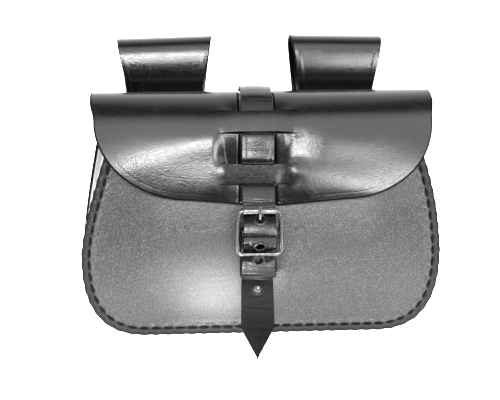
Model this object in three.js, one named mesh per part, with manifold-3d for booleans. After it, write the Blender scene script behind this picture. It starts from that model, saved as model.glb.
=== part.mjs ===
// Leather belt bag: a flap bag with a strap and buckle in front and two belt loops behind.
// Millimetres, +Z up, the front faces -Y, and the flat base rests on Z = 0.
import * as THREE from "three";
import { mergeVertices } from "three/addons/utils/BufferGeometryUtils.js";
import Module from "manifold-3d";

const wasm = await Module();
wasm.setup();

// Leather thicknesses and the gap between neighbouring pieces.
const PANEL = 1.8;
const GUSSET = 1.6;
const STRAP = 1.8;
const TAB = 1.6;
const GAP = 0.3;

// Body: middle surfaces of the front rim and of the back panel, and how far the front leans back.
const FRONT_Y = -23.2;
const BACK_Y = 18.8;
const LEAN = 4.5;
const LEAN_FROM_Z = 60;
const BODY_TOP_Z = 118;
const FRONT_TOP_Z = 126;
const WIDEST_Z = 50;
const CORNER_WIDTH = 41.5;
const CORNER_POWER = 2.5;
const PANEL_LIFT = 0.3;

// Outlines of the two panels seen from the front: half-widths at the widest height and at the top.
const FRONT_OUTLINE = { widest: 111.5, top: 92, topZ: 128, power: 1.5 };
const BACK_OUTLINE = { widest: 115.5, top: 104.6, topZ: 120, power: 1.3 };

// Front panel: flat stitched rim and the bulge inside it, which fades under the flap.
const RIM_INSETS = [0, 3.5, 7, 9];
const RIM_WIDTH = 7.5;
const BULGE = 10.2;
const BULGE_RUN = 40;
const BULGE_TOP_SHARE = 0.25;
const BULGE_FADE = { fromZ: 64, toZ: 126 };
const FRONT_TOP_HALF = 60;
const FRONT_ROWS = 6;
const FRONT_ROW_POWER = 1.2;

// Gusset: channel section with a flange sewn behind each rim, and a slight hollow at the sides.
const FLANGE = 9;
const GUSSET_HOLLOW = 2.5;
const HOLLOW_RUN = 0.3;
const U_COLUMNS = 38;
const U_SEARCH_STEP = 0.02;

// Flap: outline below the roll, and the centre line of strap, slits, buckle and loops.
const CLOSURE_X = -5;
const FLAP_X = 0.8;
const FLAP_X_RUN = 0.2;
const ROLL_HALF = 104.6;
const FLAP_HALF = 102.5;
const ROLL_NARROWS = { fromZ: 146, toZ: 134 };
const FLAP_CORNER = { z: 134, width: 55, height: 46 };
const FLAP_DIP = 4.2;
const BLEND_POWER = 2.2;
const ROLL_TILT = 0.016;
const ROLL_TILT_RISE = { fromZ: 112, toZ: 142 };

// Back and flap in one piece: middle surface on the centre line and at the side edges.
const FLAP_PROFILE = [
  { place: "base of back", y: 18.8, z: 0.3, edgeY: 18.8, edgeZ: 0.3 },
  { place: "low back", y: 18.8, z: 40, edgeY: 18.8, edgeZ: 40 },
  { place: "middle back", y: 18.8, z: 80, edgeY: 18.8, edgeZ: 80 },
  { place: "upper back", y: 18.8, z: 109, edgeY: 18.8, edgeZ: 109 },
  { place: "top of back", y: 18.8, z: 120, edgeY: 18.8, edgeZ: 120 },
  { place: "back of roll", y: 16.6, z: 134, edgeY: 16.6, edgeZ: 134 },
  { place: "rise of roll", y: 9, z: 145.2, edgeY: 9, edgeZ: 145.2 },
  { place: "top of roll", y: -2, z: 149.8, edgeY: -1.5, edgeZ: 149.6 },
  { place: "fall of roll", y: -12.5, z: 146.9, edgeY: -9.4, edgeZ: 146.4 },
  { place: "front of roll", y: -20.6, z: 138.6, edgeY: -15.6, edgeZ: 138.2 },
  { place: "high flap", y: -26.4, z: 125.5, edgeY: -21.2, edgeZ: 125.5 },
  { place: "middle flap", y: -30.2, z: 109, edgeY: -26.6, edgeZ: 109 },
  { place: "low flap", y: -33.4, z: 94, edgeY: -30.2, edgeZ: 94 },
  { place: "end of flap", y: -35, z: 83.8, edgeY: -32.3, edgeZ: 83.8 },
];
const ROLL_TOP_ROW = 7;

// Cross slits in the flap, and how far the leather moves out over the strap and in under it.
const SLITS_Z = [138.8, 126.2, 108, 96.2];
const SLIT_HALF = 24;
const SLIT_OPEN = 1.3;
const SLIT_END_OPEN = 0.45;
const BRIDGE_OUT = 1.9;
const RECESS_IN = 1.5;
const FLAT_HALF = 11;
const SLIT_FADE = 12;

// Rows and columns of the back and flap.
const BACK_ROWS_Z = [0.3, 2, 6, 12, 21, 34, 50, 68, 86, 104, 120];
const ROLL_ROWS = 10;
const ROLL_END_Z = 142.2;
const FLAP_ROWS_Z = [134.6, 130.4, 121, 117, 113, 103.8, 100.4, 92.2, 90.2, 88.8, 88, 87, 85.8, 84.6];
const CENTRE_COLUMNS = [-24, -18, -12.5, -6, 0, 6, 12.5, 18, 24];
const SIDE_COLUMNS = 6;
const CENTRE_SHARE = 0.55;

// Strap: distance of its middle surface from that of the flap, from the back to the flap's end.
const STRAP_HALF = 10;
const STRAP_STEP = 1.7;
const STRAP_OUT = PANEL / 2 + GAP + STRAP / 2;
const STRAP_BETWEEN = 1;
const STRAP_UNDER = -0.6;
const STRAP_BACK_ROWS_Z = [84, 96, 108, 119];
const STRAP_ROLL_ROWS = 12;
const STRAP_ROLL = { fromZ: 122, toZ: 145.8 };
const STRAP_ARCH = 1.2;
const STRAP_COLUMNS = 3;

// Buckle: bars, roller and tongue. The bars run along X at these heights.
const BUCKLE_Y = -43.7;
const TOP_BAR_Z = 82;
const MIDDLE_BAR_Z = 69.3;
const LOW_BAR_Z = 56.2;
const WIRE_R = 1.3;
const TOP_BAR_R = 1;
const MIDDLE_BAR_R = 1.1;
const FRAME_TOP_HALF = 12.2;
const FRAME_LOW_HALF = 13;
const FRAME_TOP_CORNER = 2.2;
const FRAME_LOW_CORNER = 3.4;
const FRAME_LAP = 1;
const MIDDLE_BAR_LAP = 0.4;
const ROLLER_R = 2;
const ROLLER_LENGTH = 19.2;
const TONGUE_R = 0.85;
const TONGUE_PLAY = 0.15;
const HOOK_R = MIDDLE_BAR_R + TONGUE_PLAY + TONGUE_R;

// Strap through the buckle and its free tail: eyelets lie on the straight stretches.
const STRAP_FRONT = [
  { place: "before the roller", y: -38.2, z: 87, half: 1 },
  { place: "behind the roller", y: -40.35, z: 82.6, half: 1 },
  { place: "leaves the roller", y: -41.05, z: 80, half: 1 },
  { place: "first eyelet", y: -44.5, z: 75.5, half: 1, eyelet: 1 },
  { place: "meets the middle bar", y: -47.2, z: 72, half: 1 },
  { place: "over the middle bar", y: -48.1, z: 69.3, half: 1 },
  { place: "leaves the middle bar", y: -47.25, z: 66.7, half: 1 },
  { place: "second eyelet", y: -44.15, z: 62.4, half: 1, eyelet: 2 },
  { place: "meets the low bar", y: -41.05, z: 58.1, half: 1 },
  { place: "behind the low bar", y: -40.45, z: 56.2, half: 1 },
  { place: "third eyelet", y: -40.45, z: 51.8, half: 1, eyelet: 3 },
  { place: "start of bend", y: -40.5, z: 47.4, half: 1 },
  { place: "bend", y: -41.6, z: 44.8, half: 1 },
  { place: "end of bend", y: -43.5, z: 43, half: 1 },
  { place: "start of tail", y: -45.6, z: 41.2, half: 1 },
  { place: "fourth eyelet", y: -50.5, z: 37.1, half: 1, eyelet: 4 },
  { place: "middle of tail", y: -62, z: 27.5, half: 1 },
  { place: "shoulder of point", y: -73.1, z: 18.2, half: 0.98 },
  { place: "side of point", y: -80.5, z: 12, half: 0.56 },
  { place: "tip", y: -85.4, z: 7.9, half: 0.06 },
];
const TAIL_DRIFT_X = -4.5;
const TAIL_DRIFT_FROM_Z = 41.2;

// Eyelets: barrel through the strap and a flange on each side of it.
const EYELET = { hole: 2.4, barrel: 2.9, flange: 4, flangeThick: 0.5, rimStep: 0.4, lip: 0.3, gap: 0.25 };
const EYELET_SIDES = 14;
const STRAP_HOLE_R = EYELET.barrel + GAP;

// Tongue above its hook, and the folded tab that holds the middle bar.
const TONGUE_PATH = [
  { place: "behind the strap", y: -42.3, z: 71.8 },
  { place: "below the eyelet", y: -43.2, z: 73.6 },
  { place: "in the eyelet", y: -44.5, z: 75.4 },
  { place: "before the strap", y: -46, z: 77.4 },
  { place: "below the roller", y: -47.05, z: 80 },
  { place: "on the roller", y: -47.15, z: 83 },
  { place: "tip", y: -46.9, z: 85.6 },
];
const HOOK_TURN_DEG = { from: 10, to: -210, step: -22 };
const TAB_HALF = 10.9;
const TAB_SLOT_HALF = 2.6;
const TAB_SLOT_FROM_Z = 64.5;
const TAB_LOOP_R = MIDDLE_BAR_R + GAP + TAB / 2;
const TAB_OUTER = [
  { place: "sewn end", y: -37.4, z: 40.5 },
  { place: "under the low bar", y: -37.4, z: 54.2 },
  { place: "rise", y: -38, z: 57.8 },
  { place: "behind second eyelet", y: -39.5, z: 61.4 },
  { place: "below the bar", y: -42, z: 65 },
];
const TAB_INNER = [
  { place: "behind the bar", y: -39.3, z: 65 },
  { place: "fall", y: -37, z: 61 },
  { place: "on the front", y: -35.7, z: 57.4 },
  { place: "flat", y: -35.5, z: 54 },
  { place: "sewn end", y: -35.5, z: 40.5 },
];
const TAB_TURN_DEG = { from: -62, to: 188, step: 25 };
const TAB_COLUMNS = [-TAB_HALF, -TAB_SLOT_HALF, TAB_SLOT_HALF, TAB_HALF];

// Belt loops: one strip folded over behind the roll, wider at the fold, both ends sewn to the back.
const LOOP_HALF_SPACING = 56;
const LOOP_THICK = 1.8;
const LOOP_RISE = { left: -1.8, right: 0.6 };
const LOOP_TILT = { left: 0.045, right: 0 };
const LOOP_PATH = [
  { place: "front end", y: 21, z: 84, half: 22.5, rise: 0 },
  { place: "front seam", y: 21, z: 104, half: 22.8, rise: 0 },
  { place: "top of seam", y: 21, z: 121, half: 23.2, rise: 0 },
  { place: "leaves the back", y: 20.7, z: 136, half: 23.8, rise: 0 },
  { place: "behind the roll", y: 20.2, z: 150, half: 24.3, rise: 0.3 },
  { place: "front of loop", y: 18.5, z: 161, half: 25.8, rise: 0.6 },
  { place: "upper front", y: 18.95, z: 171, half: 27.7, rise: 0.85 },
  { place: "shoulder", y: 22.7, z: 180, half: 29.5, rise: 1 },
  { place: "fold", y: 29.6, z: 184.7, half: 30.4, rise: 1 },
  { place: "rear shoulder", y: 36.8, z: 181.4, half: 30.2, rise: 1 },
  { place: "upper rear", y: 40, z: 172, half: 29, rise: 0.85 },
  { place: "rear of loop", y: 40.6, z: 160, half: 27.5, rise: 0.6 },
  { place: "lower rear", y: 38.2, z: 143, half: 25.8, rise: 0.3 },
  { place: "closing", y: 32.4, z: 126, half: 24.2, rise: 0 },
  { place: "near the seam", y: 25.8, z: 112, half: 23.2, rise: 0 },
  { place: "rear seam", y: 23.1, z: 101, half: 22.8, rise: 0 },
  { place: "rear end", y: 23.1, z: 86, half: 22.5, rise: 0 },
];
const LOOP_ROWS = 30;
const LOOP_COLUMNS = 4;

const clamp01 = (t) => Math.min(1, Math.max(0, t));
const smooth = (t) => clamp01(t) ** 2 * (3 - 2 * clamp01(t));
const mix = THREE.MathUtils.lerp;
const radians = THREE.MathUtils.degToRad;

// A leather wall: a grid of middle points thickened both ways along the grid's normals.
// Cells that keep() turns down are holes, and every open edge gets a wall of its own.
function sheet({ rows, columns, at, thickness, plain = at, keep = () => true }) {
  const corners = [];
  const upper = [];
  const lower = [];
  const index = [];
  const inside = (i, j) => i >= 0 && j >= 0 && i < rows - 1 && j < columns - 1 && keep(i, j);
  for (let i = 0; i < rows; i += 1) {
    for (let j = 0; j < columns; j += 1) {
      const across = plain(i, Math.min(columns - 1, j + 1)).sub(plain(i, Math.max(0, j - 1)));
      const along = plain(Math.min(rows - 1, i + 1), j).sub(plain(Math.max(0, i - 1), j));
      const half = across.cross(along).normalize().multiplyScalar(thickness / 2);
      const middle = at(i, j, half);
      upper.push(middle.clone().add(half));
      lower.push(middle.clone().sub(half));
    }
  }
  corners.push(...upper, ...lower);
  const under = rows * columns;
  const wall = (a, b) => index.push(b, a, a + under, b, a + under, b + under);
  for (let i = 0; i < rows - 1; i += 1) {
    for (let j = 0; j < columns - 1; j += 1) {
      if (!inside(i, j)) continue;
      const a = i * columns + j;
      const b = a + 1;
      const c = b + columns;
      const d = a + columns;
      index.push(a, b, c, a, c, d);
      index.push(a + under, c + under, b + under, a + under, d + under, c + under);
      if (!inside(i - 1, j)) wall(a, b);
      if (!inside(i, j + 1)) wall(b, c);
      if (!inside(i + 1, j)) wall(c, d);
      if (!inside(i, j - 1)) wall(d, a);
    }
  }
  const geometry = new THREE.BufferGeometry().setFromPoints(corners);
  geometry.setIndex(index);
  return geometry;
}

// Booleans: a closed geometry as a solid, and a solid as a geometry.
function solid(geometry) {
  const bare = new THREE.BufferGeometry();
  bare.setAttribute("position", geometry.getAttribute("position"));
  bare.setIndex(geometry.getIndex());
  const merged = mergeVertices(bare, 1e-4);
  return new wasm.Manifold(
    new wasm.Mesh({
      numProp: 3,
      vertProperties: new Float32Array(merged.getAttribute("position").array),
      triVerts: new Uint32Array(merged.getIndex().array),
    }),
  );
}

function geometryOf(body) {
  const mesh = body.getMesh();
  const geometry = new THREE.BufferGeometry();
  geometry.setAttribute("position", new THREE.BufferAttribute(mesh.vertProperties, mesh.numProp));
  geometry.setIndex(new THREE.BufferAttribute(mesh.triVerts, 1));
  return geometry;
}

// A round wire along a smooth path through points.
function wire(points, radius, { sides = 10, steps }) {
  const section = new THREE.Shape().absarc(0, 0, radius, 0, 2 * Math.PI);
  const path = new THREE.CatmullRomCurve3(points, false, "centripetal");
  return new THREE.ExtrudeGeometry(section, { steps, curveSegments: sides / 2, extrudePath: path });
}

// A rod along X.
function rod(radius, length, sides) {
  return new THREE.CylinderGeometry(radius, radius, length, sides).rotateZ(Math.PI / 2);
}

const root = new THREE.Group();

function add(name, geometry, material) {
  const mesh = new THREE.Mesh(geometry, material);
  mesh.name = name;
  root.add(mesh);
  return mesh;
}

const smoothLeather = () =>
  new THREE.MeshStandardMaterial({ color: 0x17171a, roughness: 0.38, metalness: 0 });
const grainLeather = () =>
  new THREE.MeshStandardMaterial({ color: 0x222225, roughness: 0.55, metalness: 0 });
const nickel = () =>
  new THREE.MeshStandardMaterial({ color: 0xa9a7a2, roughness: 0.3, metalness: 1 });

// Half-width of a panel at a height: rounded lower corners, then sides that lean in to the top.
function halfWidth(z, outline) {
  if (z < WIDEST_Z) {
    const drop = ((WIDEST_Z - z) / WIDEST_Z) ** CORNER_POWER;
    return outline.widest - CORNER_WIDTH * (1 - (1 - drop) ** (1 / CORNER_POWER));
  }
  const rise = clamp01((z - WIDEST_Z) / (outline.topZ - WIDEST_Z));
  return outline.widest - (outline.widest - outline.top) * rise ** outline.power;
}

// The U round sides and base, from q = -1 at the left top to q = 1 at the right top.
// Its base ends at BASE_SHARE, and its rounded corner at SIDE_SHARE.
const BASE_SHARE = 0.28;
const SIDE_SHARE = 0.66;
function uPoint(q, outline) {
  const side = Math.sign(q);
  const part = Math.abs(q);
  const baseHalf = outline.widest - CORNER_WIDTH;
  if (part <= BASE_SHARE) return new THREE.Vector2((q / BASE_SHARE) * baseHalf, 0);
  if (part <= SIDE_SHARE) {
    const turn = ((part - BASE_SHARE) / (SIDE_SHARE - BASE_SHARE)) * (Math.PI / 2);
    const out = Math.sin(turn) ** (2 / CORNER_POWER);
    const up = 1 - Math.max(0, Math.cos(turn)) ** (2 / CORNER_POWER);
    return new THREE.Vector2(side * (baseHalf + CORNER_WIDTH * out), WIDEST_Z * up);
  }
  const z = mix(WIDEST_Z, BODY_TOP_Z, (part - SIDE_SHARE) / (1 - SIDE_SHARE));
  return new THREE.Vector2(side * halfWidth(z, outline), z);
}

// A point of the U moved inwards by an inset, square to the U.
const TANGENT_STEP = 0.004;
function uInset(q, outline, inset) {
  const ahead = uPoint(Math.min(1, q + TANGENT_STEP), outline);
  const along = ahead.sub(uPoint(Math.max(-1, q - TANGENT_STEP), outline)).normalize();
  return uPoint(q, outline).add(new THREE.Vector2(-along.y, along.x).multiplyScalar(inset));
}

const frontY = (z) =>
  FRONT_Y + LEAN * Math.max(0, (z - LEAN_FROM_Z) / (FRONT_TOP_Z - LEAN_FROM_Z)) ** 2;

// Gusset: its section from the front flange to the back flange.
const FLANGE_STEP = PANEL / 2 + GAP + GUSSET / 2;
const GUSSET_SECTION = [
  { place: "front flange", inset: FLANGE, from: "front", y: 0, hollow: 0 },
  { place: "front turn", inset: 2.6, from: "front", y: 0, hollow: 0 },
  { place: "front corner", inset: 1.2, from: "front", y: 0.5, hollow: 0 },
  { place: "front wall", inset: GUSSET / 2, from: "front", y: 2.2, hollow: 0 },
  { place: "wall", inset: GUSSET / 2, from: "front", y: 13, hollow: 1 },
  { place: "wall", inset: GUSSET / 2, from: "back", y: -13, hollow: 1 },
  { place: "back wall", inset: GUSSET / 2, from: "back", y: -2.2, hollow: 0 },
  { place: "back corner", inset: 1.2, from: "back", y: -0.5, hollow: 0 },
  { place: "back turn", inset: 2.6, from: "back", y: 0, hollow: 0 },
  { place: "back flange", inset: FLANGE, from: "back", y: 0, hollow: 0 },
];

function gussetPoint(i, j) {
  const row = GUSSET_SECTION[i];
  const q = -1 + (2 * j) / U_COLUMNS;
  const { y: z } = uPoint(q, FRONT_OUTLINE);
  const near = frontY(z) + FLANGE_STEP;
  const far = BACK_Y - FLANGE_STEP;
  const y = (row.from === "front" ? near : far) + row.y;
  const share = clamp01((y - near) / (far - near));
  const hollow = GUSSET_HOLLOW * row.hollow * smooth((Math.abs(q) - BASE_SHARE) / HOLLOW_RUN);
  const front = uInset(q, FRONT_OUTLINE, row.inset + hollow);
  const back = uInset(q, BACK_OUTLINE, row.inset + hollow);
  return new THREE.Vector3(mix(front.x, back.x, share), y, mix(front.y, back.y, share));
}

add(
  "gusset",
  sheet({
    rows: GUSSET_SECTION.length,
    columns: U_COLUMNS + 1,
    at: gussetPoint,
    thickness: GUSSET,
  }),
  smoothLeather(),
);

// Front panel: rim rows follow the U, and the rows inside it run up to the top edge.
function distanceToU(point, outline) {
  let nearest = Infinity;
  for (let q = -1; q <= 1; q += U_SEARCH_STEP) {
    nearest = Math.min(nearest, uPoint(q, outline).distanceTo(point));
  }
  return nearest;
}

function frontPoint(i, j) {
  const q = -1 + (2 * j) / U_COLUMNS;
  const lastRim = RIM_INSETS.length - 1;
  const flat = uInset(q, FRONT_OUTLINE, RIM_INSETS[Math.min(i, lastRim)]);
  if (i > lastRim) {
    const share = ((i - lastRim) / FRONT_ROWS) ** FRONT_ROW_POWER;
    flat.lerp(new THREE.Vector2(FRONT_TOP_HALF * q, FRONT_TOP_Z), share);
  }
  const inset = distanceToU(flat, FRONT_OUTLINE);
  const fade = smooth((flat.y - BULGE_FADE.fromZ) / (BULGE_FADE.toZ - BULGE_FADE.fromZ));
  const share = smooth((inset - RIM_WIDTH) / BULGE_RUN) * mix(1, BULGE_TOP_SHARE, fade);
  const z = Math.max(flat.y, PANEL_LIFT);
  return new THREE.Vector3(flat.x, frontY(z) - BULGE * share, z);
}

add(
  "front_panel",
  sheet({
    rows: RIM_INSETS.length + FRONT_ROWS,
    columns: U_COLUMNS + 1,
    at: frontPoint,
    thickness: PANEL,
  }),
  grainLeather(),
);

// Back and flap: one piece that runs up the back, over the roll and down in front.
const profileCurve = (y, z) =>
  new THREE.CatmullRomCurve3(FLAP_PROFILE.map((row) => new THREE.Vector3(0, row[y], row[z])));
const centreCurve = profileCurve("y", "z");
const edgeCurve = profileCurve("edgeY", "edgeZ");
const ROLL_TOP_T = ROLL_TOP_ROW / (FLAP_PROFILE.length - 1);

// Place along the profile at a height, on the back or on the flap side of the roll.
const HALVINGS = 40;
function placeAt(z, side) {
  let low = side === "back" ? 0 : 1;
  let high = ROLL_TOP_T;
  for (let n = 0; n < HALVINGS; n += 1) {
    const half = (low + high) / 2;
    if (centreCurve.getPoint(half).z < z) low = half;
    else high = half;
  }
  return low;
}

function flapHalf(t) {
  const { z } = centreCurve.getPoint(t);
  if (t < ROLL_TOP_T) return halfWidth(z, BACK_OUTLINE);
  if (z >= FLAP_CORNER.z) {
    const narrowed = smooth((ROLL_NARROWS.fromZ - z) / (ROLL_NARROWS.fromZ - ROLL_NARROWS.toZ));
    return mix(ROLL_HALF, FLAP_HALF, narrowed);
  }
  const straight = FLAP_HALF - FLAP_CORNER.width;
  const drop = (FLAP_CORNER.z - z) / FLAP_CORNER.height;
  if (drop < 1) return straight + FLAP_CORNER.width * Math.sqrt(1 - drop ** 2);
  return straight * (1 - ((drop - 1) * FLAP_CORNER.height) / FLAP_DIP);
}

const slitRows = SLITS_Z.flatMap((z) => [
  { t: placeAt(z, "flap"), slit: z, side: 1 },
  { t: placeAt(z, "flap"), slit: z, side: -1 },
]);
const rollFrom = placeAt(BACK_ROWS_Z.at(-1), "back");
const rollTo = placeAt(ROLL_END_Z, "flap");
const flapRows = [
  ...BACK_ROWS_Z.map((z) => ({ t: placeAt(z, "back") })),
  ...Array.from({ length: ROLL_ROWS }, (_, n) => ({
    t: mix(rollFrom, rollTo, (n + 1) / ROLL_ROWS),
  })),
  ...slitRows,
  ...FLAP_ROWS_Z.map((z) => ({ t: placeAt(z, "flap") })),
].sort((a, b) => a.t - b.t || b.side - a.side);

const sideShares = Array.from({ length: SIDE_COLUMNS }, (_, n) => (n + 1) / SIDE_COLUMNS);
const flapColumns = [
  ...sideShares.toReversed().map((share) => ({ side: -1, share })),
  ...CENTRE_COLUMNS.map((offset) => ({ side: 0, offset })),
  ...sideShares.map((share) => ({ side: 1, share })),
];

function columnX(column, half, t) {
  const middle = FLAP_X * smooth((t - ROLL_TOP_T) / FLAP_X_RUN);
  const centre = Math.min(1, (CENTRE_SHARE * half) / SLIT_HALF);
  const closure = mix(middle, CLOSURE_X, centre);
  if (column.side === 0) return closure + centre * column.offset;
  const start = closure + column.side * centre * SLIT_HALF;
  return mix(start, middle + column.side * half, column.share);
}

function flapPlain(i, j) {
  const row = flapRows[i];
  const half = flapHalf(row.t);
  const x = columnX(flapColumns[j], half, row.t);
  const reach = smooth((Math.abs(x - CLOSURE_X) - FLAT_HALF) / (SLIT_HALF - FLAT_HALF));
  const open = mix(SLIT_OPEN, SLIT_END_OPEN, reach);
  const t = row.slit ? placeAt(row.slit + row.side * open, "flap") : row.t;
  const blend = clamp01(Math.abs(x) / ROLL_HALF) ** BLEND_POWER;
  const point = centreCurve.getPoint(t).lerp(edgeCurve.getPoint(t), blend);
  const { fromZ, toZ } = ROLL_TILT_RISE;
  const tilt = ROLL_TILT * x * smooth((point.z - fromZ) / (toZ - fromZ));
  return point.set(x, point.y, point.z + tilt);
}

// How far the flap stands out (+) or in (-) at the strap: out over it between the slits of a pair.
function strapLevel(z, t) {
  if (t < ROLL_TOP_T) return 0;
  const [first, second, third, fourth] = SLITS_Z;
  if (z > first) return -RECESS_IN * smooth((first + SLIT_FADE - z) / SLIT_FADE);
  if (z > second || (z < third && z > fourth)) return BRIDGE_OUT;
  if (z < fourth) return -RECESS_IN * (1 - smooth((fourth - z) / SLIT_FADE));
  return -RECESS_IN;
}

function flapPoint(i, j, inward) {
  const point = flapPlain(i, j);
  const off = Math.abs(point.x - CLOSURE_X);
  const window = 1 - smooth((off - FLAT_HALF) / (SLIT_HALF - FLAT_HALF));
  const lift = window * strapLevel(point.z, flapRows[i].t);
  return point.addScaledVector(inward.clone().normalize(), -lift);
}

const inSlit = (i, j) =>
  flapRows[i].slit && flapRows[i].side > 0 && flapColumns[j].side === 0 && flapColumns[j + 1].side === 0;

add(
  "back_flap",
  sheet({
    rows: flapRows.length,
    columns: flapColumns.length,
    at: flapPoint,
    plain: flapPlain,
    thickness: PANEL,
    keep: (i, j) => !inSlit(i, j),
  }),
  smoothLeather(),
);

// Strap: laid along the flap's centre line, in and out of the slits, then through the buckle.
function besideFlap(t, offset) {
  const outward = centreCurve.getTangent(t).cross(new THREE.Vector3(1, 0, 0));
  return centreCurve.getPoint(t).addScaledVector(outward.normalize(), offset);
}

function strapRows() {
  const rows = STRAP_BACK_ROWS_Z.map((z) => besideFlap(placeAt(z, "back"), STRAP_OUT));
  const from = placeAt(STRAP_ROLL.fromZ, "back");
  const to = placeAt(STRAP_ROLL.toZ, "flap");
  for (let n = 0; n <= STRAP_ROLL_ROWS; n += 1) {
    const share = n / STRAP_ROLL_ROWS;
    const arch = STRAP_ARCH * Math.sin(Math.PI * share) ** 2;
    rows.push(besideFlap(mix(from, to, share), STRAP_OUT + arch));
  }
  SLITS_Z.forEach((z, n) => {
    const goesIn = n % 2 === 0;
    const before = goesIn ? STRAP_BETWEEN : STRAP_UNDER;
    const after = goesIn ? STRAP_UNDER : STRAP_BETWEEN;
    rows.push(besideFlap(placeAt(z + STRAP_STEP, "flap"), before));
    rows.push(besideFlap(placeAt(z - STRAP_STEP, "flap"), after));
    const next = SLITS_Z[n + 1];
    if (next) rows.push(besideFlap(placeAt((z + next) / 2, "flap"), after));
  });
  rows.forEach((row) => row.setX(CLOSURE_X));
  const whole = rows.map((point) => ({ point, half: STRAP_HALF }));
  STRAP_FRONT.forEach(({ y, z, half, eyelet }) => {
    const tail = Math.max(0, (TAIL_DRIFT_FROM_Z - z) / (TAIL_DRIFT_FROM_Z - STRAP_FRONT.at(-1).z));
    const point = new THREE.Vector3(CLOSURE_X + TAIL_DRIFT_X * tail, y, z);
    whole.push({ point, half: STRAP_HALF * half, eyelet });
  });
  return whole;
}

const strap = strapRows();
const strapPoint = (i, j) => {
  const { point, half } = strap[i];
  return point.clone().setX(point.x + half * ((2 * j) / (STRAP_COLUMNS - 1) - 1));
};

// Eyelets sit square to the strap, and their holes go through it.
function eyeletFrame(i) {
  const along = strap[i + 1].point.clone().sub(strap[i - 1].point).normalize();
  const outward = along.cross(new THREE.Vector3(1, 0, 0)).normalize();
  const turn = new THREE.Quaternion().setFromUnitVectors(new THREE.Vector3(0, 1, 0), outward);
  return new THREE.Matrix4().compose(strap[i].point, turn, new THREE.Vector3(1, 1, 1));
}

function eyeletRing() {
  const { hole, barrel, flange, rimStep, lip } = EYELET;
  const face = STRAP / 2 + EYELET.gap;
  const top = face + EYELET.flangeThick;
  const profile = [
    [hole, -top],
    [flange - rimStep, -top],
    [flange, -face],
    [barrel, -face],
    [barrel, face],
    [flange, face],
    [flange - rimStep, top],
    [hole + lip, top],
    [hole, top - lip],
    [hole, -top],
  ];
  return new THREE.LatheGeometry(profile.map(([r, y]) => new THREE.Vector2(r, y)), EYELET_SIDES);
}

let strapBody = solid(
  sheet({ rows: strap.length, columns: STRAP_COLUMNS, at: strapPoint, thickness: STRAP }),
);
strap.forEach(({ eyelet }, i) => {
  if (!eyelet) return;
  const frame = eyeletFrame(i);
  const punch = new THREE.CylinderGeometry(STRAP_HOLE_R, STRAP_HOLE_R, 4 * STRAP, EYELET_SIDES);
  strapBody = strapBody.subtract(solid(punch.applyMatrix4(frame)));
  add(`eyelet_${eyelet}`, eyeletRing().applyMatrix4(frame), nickel());
});
add("strap", geometryOf(strapBody), smoothLeather());

// Buckle: lower wire, thinner top bar and middle bar are one solid, with the roller on the top bar.
function corner(x, z, radius, fromDeg, toDeg) {
  return [0, 0.25, 0.5, 0.75, 1].map((share) => {
    const turn = radians(mix(fromDeg, toDeg, share));
    return new THREE.Vector3(x + radius * Math.cos(turn), 0, z + radius * Math.sin(turn));
  });
}

const lowIn = FRAME_LOW_HALF - FRAME_LOW_CORNER;
const topIn = FRAME_TOP_HALF - FRAME_TOP_CORNER;
const joinZ = TOP_BAR_Z - FRAME_TOP_CORNER - FRAME_LAP;
const lowWire = [
  new THREE.Vector3(-FRAME_TOP_HALF, 0, joinZ),
  ...corner(-lowIn, LOW_BAR_Z + FRAME_LOW_CORNER, FRAME_LOW_CORNER, 180, 270),
  ...corner(lowIn, LOW_BAR_Z + FRAME_LOW_CORNER, FRAME_LOW_CORNER, 270, 360),
  new THREE.Vector3(FRAME_TOP_HALF, 0, joinZ),
];
const topWire = [
  new THREE.Vector3(-FRAME_TOP_HALF, 0, joinZ - FRAME_LAP),
  ...corner(-topIn, TOP_BAR_Z - FRAME_TOP_CORNER, FRAME_TOP_CORNER, 180, 90),
  ...corner(topIn, TOP_BAR_Z - FRAME_TOP_CORNER, FRAME_TOP_CORNER, 90, 0),
  new THREE.Vector3(FRAME_TOP_HALF, 0, joinZ - FRAME_LAP),
];
const middleLength = 2 * (FRAME_TOP_HALF + MIDDLE_BAR_LAP);
const middleBar = rod(MIDDLE_BAR_R, middleLength, 10).translate(0, 0, MIDDLE_BAR_Z);
const frameBody = solid(wire(lowWire, WIRE_R, { steps: 26 }))
  .add(solid(wire(topWire, TOP_BAR_R, { steps: 22 })))
  .add(solid(middleBar));
const buckle = new THREE.Group();
buckle.position.set(CLOSURE_X, BUCKLE_Y, 0);
root.add(buckle);
buckle.add(add("buckle_frame", geometryOf(frameBody), nickel()));

const bore = TOP_BAR_R + GAP;
const sleeve = [
  [bore, -ROLLER_LENGTH / 2],
  [ROLLER_R, -ROLLER_LENGTH / 2],
  [ROLLER_R, ROLLER_LENGTH / 2],
  [bore, ROLLER_LENGTH / 2],
  [bore, -ROLLER_LENGTH / 2],
];
const roller = new THREE.LatheGeometry(sleeve.map(([r, y]) => new THREE.Vector2(r, y)), 16);
const rollerMesh = add("buckle_roller", roller.rotateZ(Math.PI / 2), nickel());
rollerMesh.position.z = TOP_BAR_Z;
buckle.add(rollerMesh);

// Points on a turn round the middle bar, counted from the front over the top.
function turnPoints({ from, to, step }, radius) {
  const points = [];
  for (let deg = from; step > 0 ? deg <= to : deg >= to; deg += step) {
    const y = BUCKLE_Y - radius * Math.cos(radians(deg));
    const z = MIDDLE_BAR_Z + radius * Math.sin(radians(deg));
    points.push(new THREE.Vector3(CLOSURE_X, y, z));
  }
  return points;
}

const onCentre = (table) => table.map(({ y, z }) => new THREE.Vector3(CLOSURE_X, y, z));
const tonguePath = [...turnPoints(HOOK_TURN_DEG, HOOK_R), ...onCentre(TONGUE_PATH)];
add("buckle_tongue", wire(tonguePath, TONGUE_R, { sides: 8, steps: 34 }), nickel());

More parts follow.
